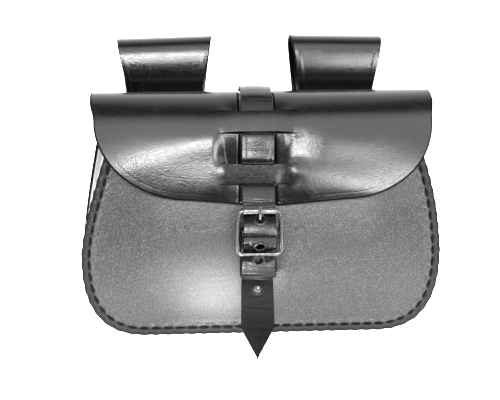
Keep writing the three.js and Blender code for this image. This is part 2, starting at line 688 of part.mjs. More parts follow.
// Tab: folded round the middle bar, with a slot for the tongue.
const tabPath = [
  ...onCentre(TAB_OUTER),
  ...turnPoints(TAB_TURN_DEG, TAB_LOOP_R),
  ...onCentre(TAB_INNER),
];
add(
  "buckle_tab",
  sheet({
    rows: tabPath.length,
    columns: TAB_COLUMNS.length,
    at: (i, j) => tabPath[i].clone().setX(CLOSURE_X + TAB_COLUMNS[j]),
    thickness: TAB,
    keep: (i, j) => j !== 1 || Math.min(tabPath[i].z, tabPath[i + 1].z) < TAB_SLOT_FROM_Z,
  }),
  smoothLeather(),
);

// Belt loops: the left one stands a little lower and tilts.
function beltLoop(side, name) {
  const centreX = CLOSURE_X + side * LOOP_HALF_SPACING;
  const path = LOOP_PATH.map(
    (row) => new THREE.Vector3(row.half, row.y, row.z + LOOP_RISE[name] * row.rise),
  );
  const shares = LOOP_PATH.map((row) => new THREE.Vector3(row.rise, row.y, row.z));
  const rows = new THREE.CatmullRomCurve3(path).getPoints(LOOP_ROWS);
  const rises = new THREE.CatmullRomCurve3(shares).getPoints(LOOP_ROWS);
  const point = (i, j) => {
    const off = rows[i].x * ((2 * j) / LOOP_COLUMNS - 1);
    const tilt = LOOP_TILT[name] * off * rises[i].x;
    return new THREE.Vector3(centreX + off, rows[i].y, rows[i].z + tilt);
  };
  const geometry = sheet({
    rows: rows.length,
    columns: LOOP_COLUMNS + 1,
    at: point,
    thickness: LOOP_THICK,
  });
  add(`belt_loop_${name}`, geometry, smoothLeather());
}

beltLoop(-1, "left");
beltLoop(1, "right");

export default root;
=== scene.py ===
import math
from functools import partial
import bpy
import numpy as np
from mathutils import Matrix, Vector


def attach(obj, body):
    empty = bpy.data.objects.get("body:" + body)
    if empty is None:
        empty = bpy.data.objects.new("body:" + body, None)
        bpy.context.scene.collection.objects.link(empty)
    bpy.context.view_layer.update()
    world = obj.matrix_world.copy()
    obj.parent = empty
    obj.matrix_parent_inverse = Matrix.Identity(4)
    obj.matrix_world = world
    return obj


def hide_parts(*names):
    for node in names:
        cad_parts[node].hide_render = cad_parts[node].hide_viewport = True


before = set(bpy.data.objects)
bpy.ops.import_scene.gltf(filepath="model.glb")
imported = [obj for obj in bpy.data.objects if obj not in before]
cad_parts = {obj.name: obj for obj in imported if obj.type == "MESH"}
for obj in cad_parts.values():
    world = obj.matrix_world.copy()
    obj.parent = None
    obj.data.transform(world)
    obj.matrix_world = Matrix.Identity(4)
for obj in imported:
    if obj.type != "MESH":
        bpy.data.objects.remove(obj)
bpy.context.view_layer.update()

# Studio: a pale floor in a light tent that is dark low in front and in one panel above, with a soft box
# at the front left, a weaker one at the right, and a narrow lamp that lights the floor before the bag.
# The camera stands a little to the left of the bag and looks down on it by ten degrees.
MM = 0.001


def table(columns, *rows):
    """Rows of values, each under the names of its columns."""
    return [dict(zip(columns.split(), row)) for row in rows]


CAMERA = {"azimuth": -5, "elevation": 10, "distance": 475, "target": (-7, 0, 81)}
CAMERA_ROLL = 0.4
IMAGE_WIDTH, FOCAL_PIXELS, SENSOR_WIDTH = 500, 740, 36
TENT_STRENGTH = 5.0
TENT = table(
    "place degrees share",
    ("front horizon", 0, 0.03),
    ("low front", 8, 0.12),
    ("front", 18, 0.5),
    ("high front", 44, 0.8),
    ("dark panel", 57, 0.04),
    ("dark panel", 68, 0.04),
    ("overhead", 84, 0.36),
    ("back", 130, 0.6),
    ("back horizon", 180, 0.6),
)
FLOOR_HEX = "EDEDED"
FLOOR_GLOW = 2.2
FLOOR_SIZE, FLOOR_FRONT_Y = 5.0, -0.26
SOFT_BOX_AIM = (0, 0, 90)
SOFT_BOXES = table(
    "name azimuth elevation distance size radiance",
    ("key_left", -7, 21.6, 1100, (420, 170), 33),
    ("key_right", 23, 11.6, 1100, (360, 240), 19),
)
FLOOR_LAMP = {"place": (-430, -74, 520), "aim": (-29, -74, 0), "size": (60, 20), "spread": 4}
FLOOR_LAMP_POWER = 0.155


def linear(hex_colour):
    """An sRGB hex colour as linear red, green, blue and alpha."""
    parts = [int(hex_colour[i:i + 2], 16) / 255 for i in (0, 2, 4)]
    return [p / 12.92 if p <= 0.04045 else ((p + 0.055) / 1.055) ** 2.4 for p in parts] + [1]


def add_node(tree, kind, sockets=None, **settings):
    """A shader node with its settings and, for each socket, a value or a link. A node given as a link
    stands for its first output."""
    node = tree.nodes.new("ShaderNode" + kind)
    for key, value in settings.items():
        setattr(node, key, value)
    for key, value in (sockets or {}).items():
        if isinstance(value, bpy.types.Node):
            value = value.outputs[0]
        if isinstance(value, bpy.types.NodeSocket):
            tree.links.new(value, node.inputs[key])
        else:
            node.inputs[key].default_value = value
    return node


def around(azimuth, elevation, distance, target):
    """A point at a distance from a target, in mm: azimuth 0 is in front of the bag."""
    turn, rise = math.radians(azimuth), math.radians(elevation)
    way = Vector((math.sin(turn) * math.cos(rise), -math.cos(turn) * math.cos(rise), math.sin(rise)))
    return Vector(target) + way * distance


def new_material(name):
    """A material without nodes, and add_node for its tree."""
    material = bpy.data.materials.new(name)
    material.use_nodes = True
    material.node_tree.nodes.clear()
    return material, partial(add_node, material.node_tree)


scene = bpy.context.scene
scene.view_settings.view_transform = "Standard"
scene.view_settings.look = "Medium High Contrast"
tent = bpy.data.worlds.new("light_tent")
scene.world = tent
tent.use_nodes = True
tent.node_tree.nodes.clear()
node = partial(add_node, tent.node_tree)
way = node("TexCoord").outputs["Generated"]
parts = node("SeparateXYZ", {0: way})
ahead = node("Math", {0: parts.outputs["Y"], 1: -1.0}, operation="MULTIPLY")
above = node("Math", {0: parts.outputs["Z"], 1: 0.0}, operation="MAXIMUM")
over = node("Math", {0: above, 1: ahead}, operation="ARCTAN2")
turned = node("Math", {0: over, 1: math.pi}, operation="DIVIDE")
ramp = node("ValToRGB", {0: turned})
for n, row in enumerate(TENT):
    stops = ramp.color_ramp.elements
    stop = stops[n] if n < len(stops) else stops.new(row["degrees"] / 180)
    stop.position = row["degrees"] / 180
    stop.color = [row["share"]] * 3 + [1]
sky = node("Background", {"Color": ramp, "Strength": TENT_STRENGTH})
node("OutputWorld", {"Surface": sky})


def add_lamp(name, power, place, aim, size, spread=180):
    """A rectangular lamp of a power in watts, turned to its aim. The camera doesn't see it."""
    lamp = bpy.data.lights.new(name, "AREA")
    lamp.shape = "RECTANGLE"
    lamp.size, lamp.size_y = (side * MM for side in size)
    lamp.spread = math.radians(spread)
    lamp.energy = power
    light = bpy.data.objects.new(name, lamp)
    scene.collection.objects.link(light)
    light.location = Vector(place) * MM
    light.rotation_euler = (Vector(aim) * MM - light.location).to_track_quat("-Z", "Y").to_euler()
    light.visible_camera = False


for box in SOFT_BOXES:
    place = around(box["azimuth"], box["elevation"], box["distance"], SOFT_BOX_AIM)
    power = box["radiance"] * math.pi * math.prod(box["size"]) * MM ** 2
    add_lamp(box["name"], power, place, SOFT_BOX_AIM, box["size"])
add_lamp("floor_lamp", FLOOR_LAMP_POWER, **FLOOR_LAMP)

# Floor paint, rolled on smooth: matt and even, with a faint unevenness of its sheen.
floor_paint, node = new_material("matt_floor_paint")
place = node("TexCoord").outputs["Object"]
patch = node("TexNoise", {"Vector": place, "Scale": 3.0})
sheen = node("MapRange", {"Value": patch, "To Min": 0.6, "To Max": 0.7})
glowing = {"Emission Color": linear(FLOOR_HEX), "Emission Strength": FLOOR_GLOW}
paint = node("BsdfPrincipled", {"Base Color": linear(FLOOR_HEX), "Roughness": sheen, **glowing})
node("OutputMaterial", {"Surface": paint})
bpy.ops.mesh.primitive_plane_add(size=FLOOR_SIZE, location=(0, FLOOR_FRONT_Y + FLOOR_SIZE / 2, 0))
bpy.ops.object.transform_apply()
floor = bpy.context.object
floor.name = "floor"
floor.data.materials.append(floor_paint)

# Backdrop: white paper all round, far behind the tent, drawn as a sphere that only the camera sees,
# so it lights nothing.
BACKDROP_R, BACKDROP_GLOW = 2.4, 3.0
backdrop_paper, node = new_material("white_backdrop_paper")
glow = node("Emission", {"Color": linear(FLOOR_HEX), "Strength": BACKDROP_GLOW})
node("OutputMaterial", {"Surface": glow})
backdrop_paper.cycles.emission_sampling = "NONE"
bpy.ops.mesh.primitive_uv_sphere_add(segments=48, ring_count=24, radius=BACKDROP_R)
backdrop = bpy.context.object
backdrop.name = "backdrop"
backdrop.data.materials.append(backdrop_paper)
backdrop.visible_diffuse = backdrop.visible_glossy = backdrop.visible_shadow = False
backdrop.visible_transmission = backdrop.visible_volume_scatter = False

lens = bpy.data.cameras.new("camera")
lens.lens = FOCAL_PIXELS / IMAGE_WIDTH * SENSOR_WIDTH
lens.sensor_width = SENSOR_WIDTH
camera = bpy.data.objects.new("camera", lens)
scene.collection.objects.link(camera)
camera.location = around(**CAMERA) * MM
look = (Vector(CAMERA["target"]) * MM - camera.location).to_track_quat("-Z", "Y").to_matrix()
camera.rotation_euler = (look @ Matrix.Rotation(math.radians(CAMERA_ROLL), 3, "Z")).to_euler()
scene.camera = camera

# Gusset: one strip of smooth leather that makes base and sides, bent to a channel whose two flanges
# are sewn behind the rims of front and back. Its sides sink in a little.
PANEL = 1.8
GUSSET = 1.6
GAP = 0.3
FRONT_Y, BACK_Y = -23.2, 18.8
LEAN, LEAN_FROM_Z = 4.5, 60
BODY_TOP_Z, FRONT_TOP_Z, WIDEST_Z = 118, 126, 50
CORNER_WIDTH, CORNER_POWER = 41.5, 2.5
BASE_SHARE, SIDE_SHARE = 0.28, 0.66
TANGENT_STEP = 0.004
FRONT_OUTLINE = {"widest": 111.5, "top": 92, "topZ": 128, "power": 1.5, "shift": 1.4}
BACK_OUTLINE = {"widest": 115.5, "top": 104.6, "topZ": 120, "power": 1.3, "shift": 0}
GUSSET_HOLLOW, HOLLOW_RUN = 2.5, 0.3
GUSSET_SECTION = table(
    "place inset back y hollow",
    ("front flange", 9, 0, 0, 0),
    ("front turn", 2.6, 0, 0, 0),
    ("front corner", 1.2, 0, 0.5, 0),
    ("front wall", 0.8, 0, 2.2, 0),
    ("wall", 0.8, 0, 13, 1),
    ("wall", 2.0, 1, -13, 1),
    ("back wall", 2.4, 1, -2.2, 0),
    ("back corner", 2.8, 1, -0.5, 0),
    ("back turn", 4.0, 1, 0, 0),
    ("back flange", 9, 1, 0, 0),
)
GUSSET_COLUMNS = 190
GUSSET_ROWS = 46
LEATHER_ROUND = 0.55


def mix(a, b, share):
    return a + (b - a) * share


def ease(share):
    """A share from 0 to 1 that starts and ends gently."""
    share = np.clip(share, 0, 1)
    return share * share * (3 - 2 * share)


def smooth_line(points, t):
    """Centripetal spline through points (count, ..., xyz) at places t from 0 to 1."""
    points = np.asarray(points, float)
    points = np.concatenate([[2 * points[0] - points[1]], points, [2 * points[-1] - points[-2]]])
    place = np.clip(np.asarray(t, float), 0, 1) * (len(points) - 3)
    first = np.minimum(place.astype(int), len(points) - 4)
    w = (place - first).reshape(place.shape + (1,) * (points.ndim - 1))
    a, b, c, d = (points[first + n] for n in range(4))
    ab, bc, cd = (
        np.maximum(np.linalg.norm(q - p, axis=-1, keepdims=True), 1e-8) ** 0.5
        for p, q in ((a, b), (b, c), (c, d))
    )
    from_b = ((b - a) / ab - (c - a) / (ab + bc) + (c - b) / bc) * bc
    from_c = ((c - b) / bc - (d - b) / (bc + cd) + (d - c) / cd) * bc
    square, cube = 3 * (c - b) - 2 * from_b - from_c, 2 * (b - c) + from_b + from_c
    return b + w * (from_b + w * (square + w * cube))


def half_width(z, outline):
    """Half the width of front or back at a height."""
    drop = np.clip((WIDEST_Z - z) / WIDEST_Z, 0, 1) ** CORNER_POWER
    low = outline["widest"] - CORNER_WIDTH * (1 - (1 - drop) ** (1 / CORNER_POWER))
    rise = np.clip((z - WIDEST_Z) / (outline["topZ"] - WIDEST_Z), 0, 1)
    high = outline["widest"] - (outline["widest"] - outline["top"]) * rise ** outline["power"]
    return np.where(z < WIDEST_Z, low, high)


def u_point(q, outline):
    """Point (x, z) of the U round sides and base: q runs from -1, left top, to 1, right top."""
    side, part = np.sign(q), np.abs(q)
    base = outline["widest"] - CORNER_WIDTH
    turn = np.clip((part - BASE_SHARE) / (SIDE_SHARE - BASE_SHARE), 0, 1) * math.pi / 2
    out = base + CORNER_WIDTH * np.sin(turn) ** (2 / CORNER_POWER)
    up = WIDEST_Z * (1 - np.maximum(0, np.cos(turn)) ** (2 / CORNER_POWER))
    z = mix(WIDEST_Z, BODY_TOP_Z, np.clip((part - SIDE_SHARE) / (1 - SIDE_SHARE), 0, 1))
    low, corner = part <= BASE_SHARE, part <= SIDE_SHARE
    x = np.where(low, q / BASE_SHARE * base, side * np.where(corner, out, half_width(z, outline)))
    z = np.where(low, 0, np.where(corner, up, z))
    return np.stack([x + outline["shift"] * ease((z - WIDEST_Z) / WIDEST_Z), z], -1)


def u_inset(q, outline, inset):
    """Point of the U moved inwards, square to the U."""
    ahead, behind = np.minimum(1, q + TANGENT_STEP), np.maximum(-1, q - TANGENT_STEP)
    along = u_point(ahead, outline) - u_point(behind, outline)
    along /= np.linalg.norm(along, axis=-1, keepdims=True)
    inward = np.stack([-along[..., 1], along[..., 0]], -1)
    return u_point(q, outline) + inward * np.asarray(inset, float)[..., None]


def front_y(z):
    """Depth of the front's rim at a height, which leans back towards its top."""
    return FRONT_Y + LEAN * np.maximum(0, (z - LEAN_FROM_Z) / (FRONT_TOP_Z - LEAN_FROM_Z)) ** 2


def distance_to_line(points, line):
    """Distance of points (..., xyz) to a broken line."""
    flat = points.reshape(-1, points.shape[-1])
    nearest = np.full(len(flat), np.inf)
    for start, end in zip(line[:-1], line[1:]):
        step = end - start
        share = np.clip((flat - start) @ step / max(step @ step, 1e-9), 0, 1)
        nearest = np.minimum(nearest, np.linalg.norm(flat - start - share[:, None] * step, axis=1))
    return nearest.reshape(points.shape[:-1])


def border_distance(points, every=2):
    """Distance of each point of a grid to the grid's border."""
    line = np.concatenate([points[0], points[1:, -1], points[-1, ::-1][1:], points[::-1, 0][1:]])
    return distance_to_line(points, np.concatenate([line[::every], line[-1:]]))


def leather_wall(name, points, thickness, face, edge, holes=None):
    """A grid pulled to middle points (rows, columns, xyz in mm), thickened, its cut edges rounded.
    The attribute edge keeps each point's distance in mm to the nearest cut edge."""
    rows, columns = points.shape[:2]
    bpy.ops.mesh.primitive_grid_add(x_subdivisions=columns - 1, y_subdivisions=rows - 1, size=1)
    wall = bpy.context.object
    wall.name = wall.data.name = name
    mesh = wall.data
    mesh.vertices.foreach_set("co", (points * MM).astype(np.float32).ravel())
    kept_edge = mesh.attributes.new("edge", "FLOAT", "POINT")
    kept_edge.data.foreach_set("value", edge.astype(np.float32).ravel())
    if holes is not None:
        bpy.context.tool_settings.mesh_select_mode = (False, False, True)
        mesh.vertices.foreach_set("select", np.zeros(len(mesh.vertices), bool))
        mesh.edges.foreach_set("select", np.zeros(len(mesh.edges), bool))
        mesh.polygons.foreach_set("select", holes.ravel())
        bpy.ops.object.mode_set(mode="EDIT")
        bpy.ops.mesh.delete(type="FACE")
        bpy.ops.object.mode_set(mode="OBJECT")
    mesh.materials.append(face)
    mesh.materials.append(burnished_edge)
    thicken = wall.modifiers.new("thicken", "SOLIDIFY")
    thicken.material_offset_rim = 1
    thicken.thickness = thickness * MM
    thicken.offset = 0
    bpy.ops.object.modifier_apply(modifier=thicken.name)
    bpy.ops.object.shade_smooth()
    rounded = wall.modifiers.new("rounded", "BEVEL")
    rounded.width = LEATHER_ROUND * MM
    rounded.segments = 2
    rounded.limit_method = "ANGLE"
    rounded.angle_limit = math.radians(55)
    rounded.harden_normals = True
    rounded.material = 1
    bpy.ops.object.modifier_apply(modifier=rounded.name)
    return wall


# Vegetable-tanned cowhide, dyed black, waxed and glazed: a half-gloss face with hair-fine grain that
# breaks up its lights, small uneven patches of wax, and dull burnished edges.
LEATHER_HEX = ("0D0D0E", "141415")
LEATHER_EDGE_HEX = "060606"
LEATHER_PATCH_MM = 14


def leather(
    name,
    colours=LEATHER_HEX,
    valley=LEATHER_EDGE_HEX,
    grain_mm=0.8,
    grain_depth_mm=0.04,
    roughness=(0.15, 0.3),
    gloss=0.5,
    burnish_mm=(0.2, 1.2),
    crease_mm=(6, 6, 6),
    crease_share=0.8,
):
    """Dyed leather: pebbled grain and fine creases in its height, patchy dye and wax, dark edges."""
    material, node = new_material(name)
    place = node("TexCoord").outputs["Object"]
    spread = {"Vector": place, "Scale": 1 / (grain_mm * MM), "Smoothness": 0.6}
    pebbles = node("TexVoronoi", spread, feature="SMOOTH_F1")
    depth = pebbles.outputs["Distance"]
    per_crease = [1 / (size * MM) for size in crease_mm]
    pulled = node("VectorMath", {0: place, 1: per_crease}, operation="MULTIPLY")
    creases = node("TexNoise", {"Vector": pulled, "Scale": 1.0, "Detail": 3.0, "Roughness": 0.6})
    patches = node("TexNoise", {"Vector": place, "Scale": 1 / (LEATHER_PATCH_MM * MM), "Detail": 2.0})
    relief = node("Math", {0: creases, 1: crease_share, 2: depth}, operation="MULTIPLY_ADD")
    bump = node("Bump", {"Height": relief, "Distance": grain_depth_mm * MM, "Strength": 1.0})
    edge = node("Attribute", attribute_name="edge").outputs["Fac"]
    worn = node("MapRange", {"Value": edge, "From Min": burnish_mm[0], "From Max": burnish_mm[1]})
    cells = node("MapRange", {"Value": pebbles.outputs["Color"], "From Min": 0.3, "From Max": 0.7})
    dyes = {6: linear(colours[0]), 7: linear(colours[1])}
    dye = node("Mix", {0: cells, **dyes}, data_type="RGBA")
    valleys = {"Value": depth, "From Min": 0.1, "From Max": 0.6}
    sunk = node("MapRange", valleys, interpolation_type="SMOOTHSTEP")
    grain = node("Mix", {0: sunk, 6: dye.outputs[2], 7: linear(valley)}, data_type="RGBA")
    burnt = {6: linear(LEATHER_EDGE_HEX), 7: grain.outputs[2]}
    face = node("Mix", {0: worn, **burnt}, data_type="RGBA")
    uneven = node("Math", {0: patches, 1: cells}, operation="ADD")
    sheen = {"To Min": roughness[0], "To Max": roughness[1]}
    wax = node("MapRange", {"Value": uneven, "From Max": 2.0, **sheen})
    surface = {"Roughness": wax, "Normal": bump, "Specular IOR Level": gloss}
    skin = node("BsdfPrincipled", {"Base Color": face.outputs[2], **surface})
    node("OutputMaterial", {"Surface": skin})
    return material


# Cut edge of the hide, dyed and rubbed: black and dull, with the fibres of the flesh side.
EDGE_FIBRE_MM, EDGE_FIBRE_DEPTH_MM = 0.6, 0.1
burnished_edge, node = new_material("burnished_leather_edge")
place = node("TexCoord").outputs["Object"]
fibre = node("TexNoise", {"Vector": place, "Scale": 1 / (EDGE_FIBRE_MM * MM)})
rough = node("MapRange", {"Value": fibre, "To Min": 0.5, "To Max": 0.8})
bump = node("Bump", {"Height": fibre, "Distance": EDGE_FIBRE_DEPTH_MM * MM})
surface = {"Roughness": rough, "Specular IOR Level": 0.06, "Normal": bump}
rubbed = node("BsdfPrincipled", {"Base Color": linear(LEATHER_EDGE_HEX), **surface})
node("OutputMaterial", {"Surface": rubbed})

smooth_leather = leather("waxed_black_leather")

flange_step = PANEL / 2 + GAP + GUSSET / 2
q = np.linspace(-1, 1, GUSSET_COLUMNS)
section = []
for row in GUSSET_SECTION:
    near = front_y(u_point(q, FRONT_OUTLINE)[:, 1]) + flange_step
    far = np.full_like(near, BACK_Y - flange_step)
    y = np.where(row["back"], far, near) + row["y"]
    share = np.clip((y - near) / (far - near), 0, 1)[:, None]
    inset = row["inset"] + GUSSET_HOLLOW * row["hollow"] * ease((np.abs(q) - BASE_SHARE) / HOLLOW_RUN)
    across = mix(u_inset(q, FRONT_OUTLINE, inset), u_inset(q, BACK_OUTLINE, inset), share)
    section.append(np.stack([across[:, 0], y, across[:, 1]], -1))
points = smooth_line(section, np.linspace(0, 1, GUSSET_ROWS))
points[..., 2] = np.maximum(points[..., 2], GUSSET / 2)
gusset = leather_wall("gusset_leather", points, GUSSET, smooth_leather, border_distance(points))
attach(gusset, "root")
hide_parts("gusset")

# Front panel: one piece of grained leather, wet-moulded to a bulge, with a flat rim that is sewn
# through the gusset's flange. The thread lies in a groove, and the holes pull the rim in. Right of
# the strap it swells a little more.
RIM_WIDTH, RIM_INNER, RIM_ROWS = 7.5, 9, 25
FRONT_ROWS, FRONT_ROW_POWER, FRONT_COLUMNS = 52, 1.2, 560
FRONT_TOP_HALF = 60
PANEL_LIFT, LIFT_RUN = 0.5, 10
BULGE, BULGE_RUN, BULGE_TOP_SHARE = 10.2, 40, 0.25
BULGE_FADE = (64, 126)
BULGE_SMOOTHING, SMOOTH_FROM_INSET = 90, RIM_WIDTH + 3
SWELL = {"x": 15, "z": 43, "wide": 9, "high": 12, "out": 3.0}
SEAM_INSET = 4.6
SEAM_PITCH = 7.4
SEAM_RELIEF = table(
    "place height inset half power at_hole",
    ("rise between two stitches", 0.1, SEAM_INSET, 1.0, 2, 1),
    ("groove under a stitch", -1.2, SEAM_INSET, 1.05, 2, 0),
    ("lip inside a hole", 0.9, 6.5, 0.9, 1, 1),
    ("swell outside a stitch", 0.8, 2.2, 1.2, 1, 0),
)
SEAM_SCALLOP = 0.3
SEAM_SAMPLES, OUTLINE_SAMPLES = 4001, 301
# Grain colours: grey, much lighter than the black dye, partly painted sheen for the light the grain
# reflects; they vary at random from pebble to pebble.
GRAIN_AND_SHEEN_HEX = ("383838", "565656")
GRAIN = {"valley": "282828", "grain_mm": 0.75, "crease_mm": (4, 4, 4)}
GRAIN_DEPTH_MM = 0.16
RUBBED_WIDTH = 4.3
RUBBED_HEX = ("1C1C1C", "2A2A2A")


def between(value, ends):
    """Share of the way from one end to the other."""
    return (value - ends[0]) / (ends[1] - ends[0])


def bell(distance, half):
    return np.exp(-((distance / half) ** 2))


def length_along(points):
    """Distance along a line of points, from its first point to each."""
    return np.concatenate([[0], np.cumsum(np.linalg.norm(np.diff(points, axis=0), axis=-1))])


dense_q = np.linspace(-1, 1, SEAM_SAMPLES)
dense_seam = u_inset(dense_q, FRONT_OUTLINE, SEAM_INSET)
seam_run = length_along(dense_seam)
stitch_count = int(seam_run[-1] // SEAM_PITCH)
seam_start = (seam_run[-1] - stitch_count * SEAM_PITCH) / 2
run = np.linspace(0, seam_run[-1], FRONT_COLUMNS)
q = np.interp(run, seam_run, dense_q)
wave = 0.5 + 0.5 * np.cos(2 * math.pi * (run - seam_start) / SEAM_PITCH)

rim_insets = np.linspace(0, RIM_INNER, RIM_ROWS)
scallop = SEAM_SCALLOP * wave * np.clip(1 - rim_insets[:, None] / SEAM_INSET, 0, 1)
rim = u_inset(q[None], FRONT_OUTLINE, rim_insets[:, None] + scallop)
top_edge = np.stack([FRONT_TOP_HALF * q, np.full_like(q, FRONT_TOP_Z)], -1)
share = (np.linspace(0, 1, FRONT_ROWS + 1)[1:] ** FRONT_ROW_POWER)[:, None, None]
inner = mix(rim[-1][None], top_edge[None], share)
flat = np.concatenate([rim, inner])
outline = u_point(np.linspace(-1, 1, OUTLINE_SAMPLES), FRONT_OUTLINE)
inset = np.concatenate([rim_insets[:, None] * np.ones_like(q), distance_to_line(inner, outline)])
fade = ease(between(flat[..., 1], BULGE_FADE))
bulge = BULGE * ease((inset - RIM_WIDTH) / BULGE_RUN) * mix(1, BULGE_TOP_SHARE, fade)
for _ in range(BULGE_SMOOTHING):
    near = np.pad(bulge, 1, mode="edge")
    evened = (near[1:-1, :-2] + near[1:-1, 2:] + near[:-2, 1:-1] + near[2:, 1:-1]) / 4
    bulge = np.where(inset > SMOOTH_FROM_INSET, evened, bulge)
z = flat[..., 1] + PANEL_LIFT * np.clip(1 - flat[..., 1] / LIFT_RUN, 0, 1)
swell = bell(flat[..., 0] - SWELL["x"], SWELL["wide"]) * bell(z - SWELL["z"], SWELL["high"])
bulge += SWELL["out"] * swell
relief = np.zeros_like(inset)
for row in SEAM_RELIEF:
    at_hole = wave ** row["power"]
    share = at_hole if row["at_hole"] else 1 - at_hole
    relief += row["height"] * bell(inset - row["inset"], row["half"]) * share
points = np.stack([flat[..., 0], front_y(z) - bulge - relief, z], -1)
# Its grey base colour is partly painted sheen over black leather.
grained_leather = leather(
    "grained_black_leather",
    GRAIN_AND_SHEEN_HEX,
    grain_depth_mm=GRAIN_DEPTH_MM,
    roughness=(0.28, 0.44),
    burnish_mm=(4, 6.5),
    **GRAIN,
)
edge = np.minimum(inset, FRONT_TOP_Z - z)
front = leather_wall("front_panel_leather", points, PANEL, grained_leather, edge)
# Outside the seam the rim's leather is pressed flat and rubbed dull.
rubbed_leather = leather(
    "rubbed_black_leather", RUBBED_HEX, roughness=(0.3, 0.5), gloss=0.2, burnish_mm=(0.6, 2.4), **GRAIN
)
front.data.materials.append(rubbed_leather)
rubbed_index = len(front.data.materials) - 1
near_edge = front.data.attributes["edge"].data
for face in front.data.polygons:
    if face.material_index == 0 and max(near_edge[v].value for v in face.vertices) < RUBBED_WIDTH:
        face.material_index = rubbed_index
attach(front, "root")
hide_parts("front_panel")

# Seams of front and back: waxed black linen thread, sewn by hand in a running stitch that leaves a
# little leather between its stitches. One stitch is modelled and copied along each seam.
THREAD_R = 0.5
THREAD_HEX = "0C0C0C"
STITCH_LINE = table(
    "place along out",
    ("in the hole", -3.7, -1.3),
    ("leaves the hole", -3.4, -0.6),
    ("on the groove", -2.2, -0.3),
    ("middle", 0, -0.25),
    ("on the groove", 2.2, -0.3),
    ("enters the hole", 3.4, -0.6),
    ("in the hole", 3.7, -1.3),
)
STITCH_STEPS = 15
BACK_OUT_Y = BACK_Y + PANEL / 2


def columns_of(rows, names):
    """The named columns of a table, side by side."""
    return np.array([[row[name] for name in names.split()] for row in rows], float)


def close_mesh():
    """Merges the active mesh's doubled points and turns its normals outwards."""
    bpy.ops.object.mode_set(mode="EDIT")
    bpy.ops.mesh.select_all(action="SELECT")
    bpy.ops.mesh.remove_doubles(threshold=1e-6)
    bpy.ops.mesh.normals_make_consistent(inside=False)
    bpy.ops.object.mode_set(mode="OBJECT")


def wire(name, points, radius, sides=2):
    """A round wire or thread along points, in mm, as a mesh with closed ends."""
    bpy.ops.curve.primitive_nurbs_path_add()
    path = bpy.context.object
    path.name = path.data.name = name
    path.data.splines.clear()
    spline = path.data.splines.new("POLY")
    spline.points.add(len(points) - 1)
    spline.points.foreach_set("co", np.c_[points * MM, np.ones(len(points))].ravel())
    path.data.bevel_depth = radius * MM
    path.data.bevel_resolution = sides
    path.data.use_fill_caps = True
    bpy.ops.object.convert(target="MESH")
    close_mesh()
    bpy.ops.object.shade_smooth_by_angle(angle=math.radians(50))
    return bpy.context.object


def joined(pieces, name):
    """Pieces joined to one mesh."""
    bpy.ops.object.select_all(action="DESELECT")
    for piece in pieces:
        piece.select_set(True)
    bpy.context.view_layer.objects.active = pieces[0]
    bpy.ops.object.join()
    bpy.context.object.name = bpy.context.object.data.name = name
    return bpy.context.object


def stitch_row(name, holes, outward):
    """One stitch between each two neighbouring holes, its thread standing on the outward side."""
    stitches = []
    for start, end in zip(holes[:-1], holes[1:]):
        along = Vector(end - start).normalized()
        out = (Vector(outward) - Vector(outward).dot(along) * along).normalized()
        turn = Matrix((along, out, along.cross(out))).transposed().to_4x4()
        stretch = Matrix.Scale(np.linalg.norm(end - start) / SEAM_PITCH, 4, (1, 0, 0))
        copy = stitch.copy()
        copy.data = stitch.data.copy()
        copy.data.transform(Matrix.Translation(Vector((start + end) / 2) * MM) @ turn @ stretch)
        scene.collection.objects.link(copy)
        stitches.append(copy)
    return joined(stitches, name)


# Waxed linen: dull black, with the twist of its strands drawn coarser than it is, so that it shows.
THREAD_TWIST_MM, THREAD_TWIST_DEPTH_MM = 0.7, 0.2
waxed_thread, node = new_material("waxed_linen_thread")
place = node("TexCoord").outputs["Object"]
twist = node("TexNoise", {"Vector": place, "Scale": 1 / (THREAD_TWIST_MM * MM), "Detail": 2.0})
bump = node("Bump", {"Height": twist, "Distance": THREAD_TWIST_DEPTH_MM * MM, "Strength": 0.6})
surface = {"Roughness": 0.6, "Specular IOR Level": 0.15, "Normal": bump}
strand = node("BsdfPrincipled", {"Base Color": linear(THREAD_HEX), **surface})
node("OutputMaterial", {"Surface": strand})

line = np.c_[columns_of(STITCH_LINE, "along out"), np.zeros(len(STITCH_LINE))]
stitch = wire("stitch", smooth_line(line, np.linspace(0, 1, STITCH_STEPS)), THREAD_R)
stitch.data.materials.append(waxed_thread)
for name, outline, outward in (
    ("front_seam_thread", FRONT_OUTLINE, (0, -1, 0)),
    ("back_seam_thread", BACK_OUTLINE, (0, 1, 0)),
):
    seam = u_inset(dense_q, outline, SEAM_INSET)
    hole_run = seam_start + SEAM_PITCH * np.arange(stitch_count + 1)
    seam_q = np.interp(hole_run, length_along(seam), dense_q)
    holes = u_inset(seam_q, outline, SEAM_INSET)
    y = front_y(holes[:, 1]) - PANEL / 2 if outward[1] < 0 else np.full(len(holes), BACK_OUT_Y)
    seam_thread = stitch_row(name, np.stack([holes[:, 0], y, holes[:, 1]], -1), outward)
    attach(seam_thread, "root")

